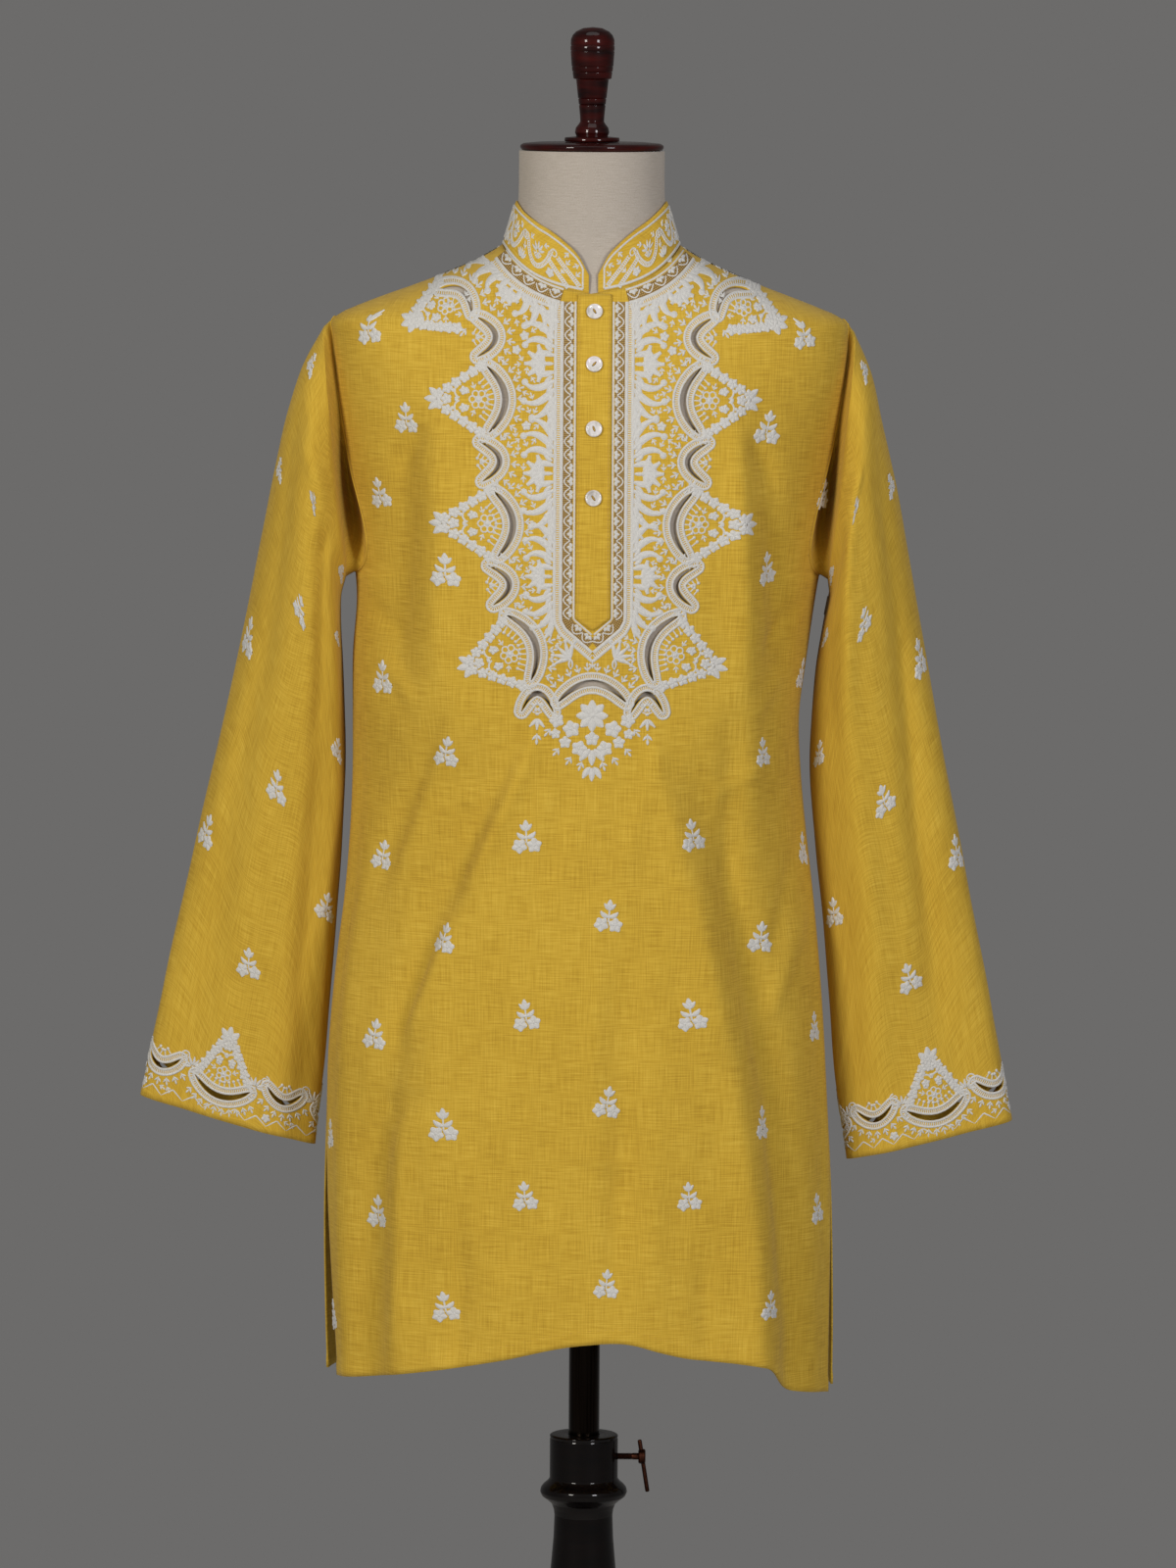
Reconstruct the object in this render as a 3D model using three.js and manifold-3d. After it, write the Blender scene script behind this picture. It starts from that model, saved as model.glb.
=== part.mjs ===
// A linen kurta with cutwork slots in its yoke and cuffs, worn by a limbless dress form on a turned stand.
// Millimetres, +Z up, the garment's front towards -Y, the origin on the floor under the pole.
import * as THREE from "three";
import { mergeVertices } from "three/addons/utils/BufferGeometryUtils.js";
import Module from "manifold-3d";

const wasm = await Module();
wasm.setup();

// Cloth
const CLOTH = 1.4; // wall of a panel
const COLLAR_CLOTH = 1.8; // two layers and their stiffening
const SEAM_GAP = 0.3; // between pieces that are sewn together
const SQUARENESS = 2.3; // exponent of the body's sections: 2 is an ellipse

// Heights of the garment
const NECK_POINT_Z = 1541; // where collar and shoulder seam meet
const FRONT_NECK_Z = 1503.5; // the collar's seam at the centre front
const BACK_NECK_Z = 1536;
const SHOULDER_TIP_Z = 1480;
const UNDERARM_Z = 1268;
const SLIT_TOP_Z = 848;

// The armhole: turn 0 is the shoulder tip and 180 the underarm. The front and back of its edge lie this many
// degrees round the body from the side.
const ARMHOLE = [
  { turn: 0, front: 0, back: 0 },
  { turn: 30, front: 4, back: 5 },
  { turn: 60, front: 10, back: 11 },
  { turn: 90, front: 17, back: 16 },
  { turn: 120, front: 23, back: 19 },
  { turn: 145, front: 23, back: 18 },
  { turn: 165, front: 15, back: 11 },
  { turn: 180, front: 0, back: 0 },
];
const POCKET_DEPTH = 12; // the sleeve tucks in beside the armhole's front
const POCKET_TURN = 105; // its middle, and how far it reaches round, in degrees of turn
const POCKET_DEG = 38;
const POCKET_SEAM = 0.6; // the seam lies this much wider there

// The side slits at the hem, in degrees round the body from the side
const SLIT_FRONT_DEG = 11;
const SLIT_BACK_DEG = 4;
const SLIT_FLARE = { left: 8, right: 2 }; // the back's slit edges stand out by this
const SLIT_FLARE_DEG = 12;

// Grid sizes
const FRONT_COLUMNS = 28;
const BACK_COLUMNS = 22;
const SHOULDER_ROWS = 4;
const ARMHOLE_ROWS = 10; // also the steps round half a sleeve
const SKIRT_ROWS = 12;
const SLEEVE_ROWS = [0, 0.4, 0.8, 1.3, 2, 3, 4, 5, 6, 7, 8, 9, 10, 11];

// Sections of the kurta's body. Left and right are the viewer's.
const BODY_SECTIONS = [
  { z: 1550, left: 68, right: 68, front: 58, back: 64 },
  { z: 1541, left: 74, right: 74, front: 62, back: 67 },
  { z: 1527, left: 98, right: 97, front: 69, back: 74 },
  { z: 1510, left: 139, right: 136, front: 78, back: 84 },
  { z: 1494, left: 183, right: 178, front: 86, back: 94 },
  { z: 1480, left: 213, right: 210, front: 93, back: 102 },
  { z: 1465, left: 215, right: 214, front: 100, back: 108 },
  { z: 1440, left: 214, right: 214, front: 109, back: 114 },
  { z: 1400, left: 212, right: 211, front: 120, back: 120 },
  { z: 1350, left: 208, right: 206, front: 129, back: 123 },
  { z: 1300, left: 200, right: 198, front: 134, back: 122 },
  { z: 1250, left: 194, right: 189, front: 137, back: 119 },
  { z: 1200, left: 197, right: 182, front: 137, back: 114 },
  { z: 1150, left: 197, right: 176, front: 136, back: 111 },
  { z: 1100, left: 197, right: 178, front: 135, back: 111 },
  { z: 1050, left: 199, right: 183, front: 135, back: 114 },
  { z: 1000, left: 203, right: 189, front: 136, back: 119 },
  { z: 950, left: 209, right: 194, front: 137, back: 124 },
  { z: 900, left: 214, right: 198, front: 138, back: 128 },
  { z: 850, left: 217, right: 201, front: 138, back: 131 },
  { z: 750, left: 217, right: 206, front: 138, back: 133 },
  { z: 650, left: 213, right: 208, front: 138, back: 133 },
  { z: 560, left: 209, right: 208, front: 137, back: 132 },
];

// Soft folds of the body. Angles are in degrees, 0 at the centre front, plus to the right, 180 at the back.
const BODY_FOLDS = [
  { name: "right main ridge", top: 1180, bottom: 600, from: 13, to: 42, width: 8, rise: 7 },
  { name: "right main trough", top: 1160, bottom: 600, from: 23, to: 55, width: 7, rise: -8 },
  { name: "left main ridge", top: 1180, bottom: 600, from: -7, to: -42, width: 9, rise: 5 },
  { name: "left main trough", top: 1160, bottom: 600, from: -17, to: -55, width: 7, rise: -6 },
  { name: "right chest ridge", top: 1450, bottom: 980, from: 34, to: 47, width: 7, rise: 5 },
  { name: "left chest ridge", top: 1440, bottom: 1080, from: -31, to: -38, width: 8, rise: 3.5 },
  { name: "left side ridge", top: 1120, bottom: 600, from: -62, to: -68, width: 7, rise: 4 },
  { name: "back centre trough", top: 1420, bottom: 600, from: 176, to: 172, width: 9, rise: -6 },
  { name: "back right ridge", top: 1330, bottom: 600, from: 158, to: 149, width: 8, rise: 7 },
  { name: "back right trough", top: 1200, bottom: 600, from: 140, to: 132, width: 7, rise: -6 },
  { name: "back left ridge", top: 1350, bottom: 600, from: 197, to: 206, width: 8, rise: 6 },
  { name: "back left trough", top: 1180, bottom: 600, from: 214, to: 224, width: 7, rise: -7 },
  { name: "back left outer ridge", top: 1080, bottom: 600, from: 232, to: 240, width: 7, rise: 5 },
];

// Height of the hem round the body, in degrees from the centre front
const FRONT_HEM = [
  { angle: -90, z: 591 },
  { angle: -60, z: 599 },
  { angle: -32, z: 613 },
  { angle: -15, z: 625 },
  { angle: 0, z: 638 },
  { angle: 7, z: 639 },
  { angle: 15, z: 631 },
  { angle: 21, z: 626 },
  { angle: 42, z: 615 },
  { angle: 50, z: 600 },
  { angle: 58, z: 589 },
  { angle: 90, z: 578 },
];
const BACK_HEM = [
  { angle: 90, z: 580 },
  { angle: 130, z: 596 },
  { angle: 165, z: 608 },
  { angle: 200, z: 606 },
  { angle: 235, z: 600 },
  { angle: 270, z: 592 },
];

// Sections of the sleeves: the outer and inner edge seen from the front, the half depths in front and behind,
// and how far back the section's middle lies. The first row stands just off the armhole.
const SLEEVE_SECTIONS = {
  left: [
    { outX: 224, outZ: 1470, inX: 205, inZ: 1262, front: 60, back: 60, y: 0 },
    { outX: 241, outZ: 1436, inX: 207, inZ: 1245, front: 68, back: 64, y: 0 },
    { outX: 253, outZ: 1398, inX: 207, inZ: 1222, front: 70, back: 66, y: 1 },
    { outX: 263, outZ: 1352, inX: 205.5, inZ: 1190, front: 68, back: 66, y: 3 },
    { outX: 275, outZ: 1290, inX: 204, inZ: 1148, front: 63, back: 62, y: 6 },
    { outX: 291, outZ: 1210, inX: 203.5, inZ: 1095, front: 56, back: 56, y: 10 },
    { outX: 310, outZ: 1124, inX: 206, inZ: 1036, front: 49, back: 49, y: 16 },
    { outX: 328, outZ: 1043, inX: 210.5, inZ: 975, front: 42, back: 42, y: 22 },
    { outX: 345, outZ: 966, inX: 215.5, inZ: 912, front: 35, back: 35, y: 27 },
    { outX: 361, outZ: 892, inX: 221, inZ: 847, front: 28, back: 28, y: 30 },
    { outX: 376, outZ: 822, inX: 228, inZ: 781, front: 21, back: 21, y: 32 },
  ],
  right: [
    { outX: 221, outZ: 1468, inX: 201, inZ: 1262, front: 60, back: 60, y: 0 },
    { outX: 235, outZ: 1432, inX: 200, inZ: 1246, front: 68, back: 64, y: 0 },
    { outX: 244, outZ: 1392, inX: 195, inZ: 1222, front: 71, back: 66, y: 0 },
    { outX: 256, outZ: 1340, inX: 190, inZ: 1190, front: 70, back: 66, y: 2 },
    { outX: 268, outZ: 1275, inX: 187, inZ: 1148, front: 65, back: 62, y: 4 },
    { outX: 283, outZ: 1195, inX: 186, inZ: 1095, front: 57, back: 56, y: 6 },
    { outX: 299, outZ: 1110, inX: 191, inZ: 1036, front: 50, back: 49, y: 9 },
    { outX: 315, outZ: 1028, inX: 198, inZ: 975, front: 43, back: 42, y: 13 },
    { outX: 330, outZ: 952, inX: 203.5, inZ: 912, front: 36, back: 35, y: 16 },
    { outX: 345, outZ: 878, inX: 209.5, inZ: 842, front: 29, back: 28, y: 18 },
    { outX: 359, outZ: 807, inX: 219.5, inZ: 773, front: 22, back: 22, y: 20 },
  ],
};

// Soft folds of the sleeves. Turn is in degrees round the sleeve: 0 outside, 90 front, 180 inside.
const SLEEVE_FOLDS = {
  left: [
    { from: 42, to: 58, top: 0.08, bottom: 0.55, width: 16, rise: -6 },
    { from: 88, to: 112, top: 0.1, bottom: 1, width: 15, rise: 4 },
    { from: 128, to: 140, top: 0.3, bottom: 1, width: 12, rise: -3.5 },
    { from: 250, to: 235, top: 0.1, bottom: 0.9, width: 16, rise: -5 },
    { from: 300, to: 290, top: 0.2, bottom: 1, width: 15, rise: 3.5 },
  ],
  right: [
    { from: 95, to: 118, top: 0.05, bottom: 0.9, width: 15, rise: 5 },
    { from: 52, to: 62, top: 0.3, bottom: 1, width: 15, rise: -5 },
    { from: 24, to: 30, top: 0.4, bottom: 1, width: 13, rise: 3 },
    { from: 240, to: 228, top: 0.12, bottom: 0.9, width: 16, rise: -5 },
    { from: 290, to: 300, top: 0.2, bottom: 1, width: 15, rise: 3.5 },
  ],
};

// The neckline: height of the front's seam at a distance from the middle plane, and the collar's height there
const NECKLINE = [
  { x: 0, z: FRONT_NECK_Z, rise: 15 },
  { x: 3, z: 1504, rise: 20 },
  { x: 8, z: 1504.8, rise: 28 },
  { x: 14, z: 1506, rise: 33.5 },
  { x: 24, z: 1508.2, rise: 39 },
  { x: 36, z: 1512, rise: 42 },
  { x: 48, z: 1517.4, rise: 41.5 },
  { x: 58.5, z: 1524.5, rise: 39.5 },
  { x: 66.5, z: 1532, rise: 37 },
  { x: 74, z: NECK_POINT_Z, rise: 36 },
];

// Collar
const COLLAR_RISE = 36; // at the sides and back
const COLLAR_TOP = { taper: 0.855, front: 66, back: 66 }; // its top edge: width as a share of its foot, and depths
const COLLAR_END_GAP = 3.8; // each end stays this far from its middle
const COLLAR_MIDDLE_X = 2;
const COLLAR_COLUMNS = 44;
const COLLAR_ROWS = 3;

// Placket and buttons
const CENTRE_X = 3; // the garment sits slightly turned on the form
const PLACKET_WIDTH = 28;
const PLACKET_TOP_Z = 1502.6;
const PLACKET_SHOULDER_Z = 1240;
const PLACKET_POINT = 10;
const PLACKET_COLUMNS = 4;
const PLACKET_ROWS = 16;
const FRONT_SLIT_WIDTH = 2;
const CUT_REACH = 3; // a cutter passes through the cloth by this on both sides
const BUTTON_DIAMETER = 13.5;
const BUTTON_THICK = 2.4;
const BUTTON_RIM = 0.7;
const BUTTON_SEGMENTS = 16;
const BUTTON_HEIGHTS = [1488, 1446, 1394, 1338];

// Cutwork of the yoke: scallops and curls down each side of the placket, measured from the centre front
const SCALLOPS = 3;
const SCALLOP_PITCH = 101;
const FIRST_CURL_Z = 1468;
const CURL = { length: 32, bulge: 15, slot: 4.4, out: 8 };
const ARC = { length: 53, bulge: 14, slot: 5.2, out: 0 };
const SHOULDER_ARC = { fromX: 128, fromZ: 1506, toX: 101, toZ: 1487, bulge: 10, slot: 4.4 };
const FOOT_ARC = { x: 0, z: 1171, length: 56, bulge: 16, slot: 5.2 };
const FOOT_CURL = { x: 45, z: 1163, length: 26, bulge: 15, slot: 4.4 };
const YOKE_EDGE = [
  { z: 1500, x: 89 },
  { z: 1419, x: 87 },
  { z: 1368, x: 84 },
  { z: 1318, x: 79 },
  { z: 1266, x: 76 },
  { z: 1243, x: 71 },
  { z: 1190, x: 50 },
];

// Cutwork of the cuffs, measured up from the cuff's edge
const CUFF_REPEATS = 3;
const CUFF_ARC = { length: 50, bulge: 11, slot: 5, height: 31 };
const CUFF_CURL = { length: 32, bulge: 10, slot: 4.2, height: 40 };

// Dress form: half width, front and back depth
const FORM_SECTIONS = [
  { z: 815, side: 150, front: 92, back: 92 },
  { z: 822, side: 164, front: 102, back: 106 },
  { z: 850, side: 173, front: 110, back: 116 },
  { z: 910, side: 176, front: 114, back: 120 },
  { z: 980, side: 168, front: 110, back: 112 },
  { z: 1060, side: 156, front: 103, back: 100 },
  { z: 1130, side: 156, front: 104, back: 98 },
  { z: 1210, side: 166, front: 110, back: 103 },
  { z: 1290, side: 178, front: 120, back: 110 },
  { z: 1360, side: 186, front: 121, back: 113 },
  { z: 1410, side: 189, front: 112, back: 110 },
];
// The form's shoulders carry the cloth and stay clear of it by this
const FORM_SHOULDERS = [
  { z: 1436, clear: 3 },
  { z: 1460, clear: 1.5 },
  { z: 1480, clear: 1.4 },
  { z: 1494, clear: 0.5 },
  { z: 1510, clear: 0.5 },
  { z: 1527, clear: 1 },
  { z: 1541, clear: 2 },
];
const FORM_SHOULDER_SHRINK = 16; // the form's shoulder ends this far inside the armhole
const NECK_SECTIONS = [
  { z: 1552, side: 64.5, front: 57.5, back: 60.5 },
  { z: 1577, side: 61, front: 57, back: 59 },
  { z: 1619, side: 60.5, front: 58, back: 59 },
];
const TORSO_POWER = 0.93; // just squarer than an ellipse
const FORM_STEPS = 24;

// Neck cap, finial, pole, post and base
const CAP_RADIUS = 59.6;
const CAP_TOP_Z = 1626;
const POLE_RADIUS = 13;
const POLE_BOTTOM_Z = 285;
const POST_TOP_Z = 540;
const BORE_RADIUS = 13.08;
const BORE_BOTTOM_Z = 180;
const POST_SOCKET_RADIUS = 28.7;
const BASE_RADIUS = 190;
const BASE_THICK = 26;
const TURNED_SEGMENTS = 24;

// Clamp screw in the post's socket, its axis along X
const CLAMP_Z = 521;
const SCREW_RADIUS = 2.8;
const SCREW_HOLE_RADIUS = 2.92;
const SCREW_END_X = 46;
const KNOB_RADIUS = 6.2;
const KNOB_LENGTH = 6;
const BAR_RADIUS = 1.6;
const BAR_LENGTH = 45;
const BAR_DROP = 8; // the bar's middle hangs below the screw's axis
const BAR_TILT_DEG = 9;

const DEG = Math.PI / 180;
const UP = new THREE.Vector3(0, 0, 1);

// A smooth curve through table rows: value of a column at a place along another.
function column(rows, along, name) {
  const sorted = [...rows].sort((a, b) => a[along] - b[along]);
  const x = sorted.map((row) => row[along]);
  const y = sorted.map((row) => row[name]);
  const last = x.length - 1;
  const slope = x.map((_, i) => {
    const a = Math.max(i - 1, 0);
    const b = Math.min(i + 1, last);
    return (y[b] - y[a]) / (x[b] - x[a]);
  });
  return (at) => {
    const t = THREE.MathUtils.clamp(at, x[0], x[last]);
    let i = 0;
    while (i < last - 1 && t > x[i + 1]) i += 1;
    const h = x[i + 1] - x[i];
    const s = (t - x[i]) / h;
    const s2 = s * s;
    const s3 = s2 * s;
    return (
      (2 * s3 - 3 * s2 + 1) * y[i] +
      (s3 - 2 * s2 + s) * h * slope[i] +
      (3 * s2 - 2 * s3) * y[i + 1] +
      (s3 - s2) * h * slope[i + 1]
    );
  };
}

const columns = (rows, along, names) =>
  Object.fromEntries(names.map((name) => [name, column(rows, along, name)]));
const smooth = (t) => THREE.MathUtils.smoothstep(t, 0, 1);
const signedPower = (value, power) => Math.sign(value) * Math.abs(value) ** power;

const body = columns(BODY_SECTIONS, "z", ["left", "right", "front", "back"]);
const frontHem = column(FRONT_HEM, "angle", "z");
const backHem = column(BACK_HEM, "angle", "z");

// How far a fold pushes the cloth out at an angle, in degrees, and a share of its length.
function foldPush(fold, angle, share) {
  if (share <= 0) return 0;
  const middle = fold.from + (fold.to - fold.from) * Math.sin(Math.min(share, 1) * 90 * DEG);
  let away = Math.abs(angle - middle) % 360;
  away = Math.min(away, 360 - away);
  return fold.rise * smooth(share * 3) * Math.exp(-((away / fold.width) ** 2));
}

function bodyFolds(angle, z) {
  let push = 0;
  for (const fold of BODY_FOLDS) {
    const share = (fold.top - z) / (fold.top - fold.bottom);
    const fade = fold.bottom > 700 ? 1 - smooth((share - 0.6) * 2.5) : 1;
    push += fade * foldPush(fold, angle / DEG, share);
  }
  return push;
}

// The kurta's outer surface at an angle round the body and a height.
function bodyPoint(angle, z, folded = true) {
  const s = Math.sin(angle);
  const c = Math.cos(angle);
  const power = 2 / SQUARENESS;
  const side = s < 0 ? body.left(z) : body.right(z);
  const depth = c > 0 ? body.front(z) : body.back(z);
  const sideFade = Math.min(1, Math.abs(c) * 2.5); // the side seams stay free of folds
  const slit = smooth((SLIT_TOP_Z - z) / (SLIT_TOP_Z - 600));
  const pastSide = (Math.acos(THREE.MathUtils.clamp(Math.abs(s), 0, 1)) / DEG) * (c < 0 ? 1 : 9);
  const flareOut = s < 0 ? SLIT_FLARE.left : SLIT_FLARE.right;
  const flare = flareOut * slit * Math.exp(-((pastSide / SLIT_FLARE_DEG) ** 2));
  const push = (folded ? bodyFolds(angle, z) * sideFade : 0) + (folded ? flare : 0);
  return new THREE.Vector3(
    side * signedPower(s, power) + push * s,
    -depth * signedPower(c, power) - push * c,
    z,
  );
}

// The outward normal of a surface of two parameters.
function normalOf(surface, a, b, da, db) {
  const across = surface(a + da, b).sub(surface(a - da, b));
  const along = surface(a, b + db).sub(surface(a, b - db));
  return across.cross(along).normalize();
}

const ANGLE_STEP = 0.6 * DEG;
const Z_STEP = 2;
const bodyNormal = (angle, z, folded) =>
  normalOf((a, b) => bodyPoint(a, b, folded), angle, z, ANGLE_STEP, Z_STEP);

// Height of the neckline at an angle round the body: where the table's curve crosses the body's surface.
const neckline = columns(NECKLINE, "x", ["z", "rise"]);
function neckZ(angle) {
  const c = Math.cos(angle);
  if (c <= 0) return BACK_NECK_Z * c ** 2 + NECK_POINT_Z * (1 - c ** 2);
  let low = FRONT_NECK_Z - 20;
  let high = NECK_POINT_Z;
  for (let i = 0; i < 30; i += 1) {
    const middle = (low + high) / 2;
    if (middle < neckline.z(Math.abs(bodyPoint(angle, middle, false).x))) low = middle;
    else high = middle;
  }
  return high;
}

// Heights down the armhole, closer together at its two ends.
const armholeTurn = (step) => (Math.PI * step) / ARMHOLE_ROWS;
const armholeZ = (turn) =>
  (SHOULDER_TIP_Z + UNDERARM_Z) / 2 + ((SHOULDER_TIP_Z - UNDERARM_Z) / 2) * Math.cos(turn);
const armhole = columns(ARMHOLE, "turn", ["front", "back"]);
const armholeInset = (turn, front) => DEG * (front ? armhole.front(turn / DEG) : armhole.back(turn / DEG));

// The angle from the side at which two panels lie a seam's gap apart.
const seamInset = (z) => (SEAM_GAP / 2 / body.front(z)) ** (SQUARENESS / 2);

// A closed wall between two grids of points.
function wallBetween(outer, inner, { loop = false } = {}) {
  const rows = outer.length;
  const cols = outer[0].length;
  const positions = [];
  for (const grid of [outer, inner])
    for (const row of grid) for (const p of row) positions.push(p.x, p.y, p.z);
  const at = (layer, i, j) => layer * rows * cols + i * cols + (loop ? j % cols : j);
  const index = [];
  const quad = (a, b, c, d) => index.push(a, b, c, a, c, d);
  const spans = loop ? cols : cols - 1;
  for (let i = 0; i < rows - 1; i += 1)
    for (let j = 0; j < spans; j += 1) {
      quad(at(0, i, j), at(0, i + 1, j), at(0, i + 1, j + 1), at(0, i, j + 1));
      quad(at(1, i, j), at(1, i, j + 1), at(1, i + 1, j + 1), at(1, i + 1, j));
    }
  for (let j = 0; j < spans; j += 1) {
    quad(at(0, 0, j), at(0, 0, j + 1), at(1, 0, j + 1), at(1, 0, j));
    quad(at(0, rows - 1, j), at(1, rows - 1, j), at(1, rows - 1, j + 1), at(0, rows - 1, j + 1));
  }
  if (!loop)
    for (let i = 0; i < rows - 1; i += 1) {
      quad(at(0, i, 0), at(1, i, 0), at(1, i + 1, 0), at(0, i + 1, 0));
      quad(at(0, i, cols - 1), at(0, i + 1, cols - 1), at(1, i + 1, cols - 1), at(1, i, cols - 1));
    }
  return closedGeometry(positions, index);
}

// A geometry with its faces pointing out, whichever way round it was listed.
function closedGeometry(positions, index) {
  const p = (i) => new THREE.Vector3().fromArray(positions, index[i] * 3);
  let volume = 0;
  for (let i = 0; i < index.length; i += 3) volume += p(i).dot(p(i + 1).cross(p(i + 2)));
  if (volume < 0) index.reverse();
  const geometry = new THREE.BufferGeometry();
  geometry.setAttribute("position", new THREE.Float32BufferAttribute(positions, 3));
  geometry.setIndex(index);
  geometry.computeVertexNormals();
  return geometry;
}

function toSolid(geometry) {
  const bare = new THREE.BufferGeometry();
  bare.setAttribute("position", geometry.getAttribute("position"));
  if (geometry.index) bare.setIndex(geometry.index);
  const merged = mergeVertices(bare, 1e-4);
  return new wasm.Manifold(
    new wasm.Mesh({
      numProp: 3,
      vertProperties: merged.getAttribute("position").array,
      triVerts: new Uint32Array(merged.index.array),
    }),
  );
}

function toGeometry(solid) {
  const mesh = solid.getMesh();
  const geometry = new THREE.BufferGeometry();
  geometry.setAttribute("position", new THREE.BufferAttribute(mesh.vertProperties, mesh.numProp));
  geometry.setIndex(new THREE.BufferAttribute(mesh.triVerts, 1));
  geometry.computeVertexNormals();
  return geometry;
}

// The rows of a body panel: its edge's angle and the heights across it.
function panelRows(front) {
  const rows = [];
  const centreTip = front ? SHOULDER_TIP_Z - 24 : SHOULDER_TIP_Z - 2;
  for (let i = 0; i < SHOULDER_ROWS; i += 1) {
    const t = i / SHOULDER_ROWS;
    const edge = THREE.MathUtils.lerp(NECK_POINT_Z, SHOULDER_TIP_Z, t);
    rows.push({ edgeZ: edge, centreZ: centreTip, below: t, half: 90 * DEG - seamInset(edge) });
  }
  for (let i = 0; i <= ARMHOLE_ROWS; i += 1) {
    const turn = armholeTurn(i);
    const edge = armholeZ(turn);
    const inset = armholeInset(turn, front);
    rows.push({
      edgeZ: edge,
      centreZ: THREE.MathUtils.lerp(centreTip, UNDERARM_Z, smooth(i / ARMHOLE_ROWS) * 0.3 + (0.7 * i) / ARMHOLE_ROWS),
      half: 90 * DEG - Math.max(inset, seamInset(edge)),
    });
  }
  for (let i = 1; i <= SKIRT_ROWS; i += 1) rows.push({ drop: i / SKIRT_ROWS });
  return rows;
}

function panelPlace(row, share, front) {
  if (row.drop === undefined) {
    const angle = share * row.half;
    const round = front ? angle : Math.PI - angle;
    const out = (Math.sin(angle) / Math.sin(row.half)) ** 2;
    if (row.below === undefined) return { angle: round, z: row.centreZ + (row.edgeZ - row.centreZ) * out };
    const tip = row.centreZ + (SHOULDER_TIP_Z - row.centreZ) * out;
    return { angle: round, z: THREE.MathUtils.lerp(neckZ(round), tip, row.below) };
  }
  const hem = (angle) => (front ? frontHem(angle / DEG) : backHem(180 - angle / DEG));
  const edgeZ = UNDERARM_Z + (hem(Math.sign(share) * 90 * DEG) - UNDERARM_Z) * row.drop;
  const open = smooth((SLIT_TOP_Z - edgeZ) / (SLIT_TOP_Z - 600));
  const inset = seamInset(edgeZ) + open * (front ? SLIT_FRONT_DEG : SLIT_BACK_DEG) * DEG;
  const angle = share * (90 * DEG - inset);
  const z = UNDERARM_Z + (hem(angle) - UNDERARM_Z) * row.drop;
  return { angle: front ? angle : Math.PI - angle, z };
}

function bodyPanel(front) {
  const columnCount = front ? FRONT_COLUMNS : BACK_COLUMNS;
  const outer = [];
  const inner = [];
  for (const row of panelRows(front)) {
    const line = [];
    const under = [];
    for (let j = 0; j <= columnCount; j += 1) {
      const { angle, z } = panelPlace(row, -1 + (2 * j) / columnCount, front);
      const p = bodyPoint(angle, z);
      line.push(p);
      under.push(p.clone().addScaledVector(bodyNormal(angle, z), -CLOTH));
    }
    outer.push(line);
    inner.push(under);
  }
  return wallBetween(outer, inner);
}

// The angle round the body at which the front's surface has this distance from the middle plane.
function frontAngle(x, z) {
  const side = x < 0 ? body.left(z) : body.right(z);
  const share = Math.min(Math.abs(x) / side, 1);
  return Math.sign(x) * Math.asin(share ** (SQUARENESS / 2));
}

// A point over the front, given from the front as x and z, and how far out from the cloth.
function overFront(x, z, out) {
  const angle = frontAngle(x, z);
  return bodyPoint(angle, z).addScaledVector(bodyNormal(angle, z), out);
}

// A crescent between two ends, its middle pushed to the left of the way from the first end to the second.
function crescent(x1, y1, x2, y2, bulge, width) {
  const STEPS = 5;
  const lengthwise = new THREE.Vector2(x2 - x1, y2 - y1);
  const side = new THREE.Vector2(-lengthwise.y, lengthwise.x).normalize();
  const edge = (sign) => {
    const points = [];
    for (let i = 0; i <= STEPS; i += 1) {
      const t = i / STEPS;
      const bow = 1 - (2 * t - 1) ** 2;
      const half = (width / 2) * (0.15 + 0.85 * Math.sqrt(bow));
      points.push(
        new THREE.Vector2(x1, y1)
          .addScaledVector(lengthwise, t)
          .addScaledVector(side, bulge * bow + sign * half),
      );
    }
    return points;
  };
  return [...edge(1), ...edge(-1).reverse()];
}

// A closed cutter that follows a surface: an outline given in the surface's own two measures.
function slotCutter(outline, place) {
  const flat = THREE.ShapeUtils.isClockWise(outline) ? [...outline].reverse() : outline;
  const caps = THREE.ShapeUtils.triangulateShape(flat, []);
  const count = flat.length;
  const positions = [];
  for (const out of [CUT_REACH, -CLOTH - CUT_REACH])
    for (const p of flat) positions.push(...place(p.x, p.y, out).toArray());
  const index = [];
  for (const [a, b, c] of caps) index.push(a, b, c, count + a, count + c, count + b);
  for (let i = 0; i < count; i += 1) {
    const j = (i + 1) % count;
    index.push(i, count + i, count + j, i, count + j, j);
  }
  return toSolid(closedGeometry(positions, index));
}

const yokeEdge = column(YOKE_EDGE, "z", "x");

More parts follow.
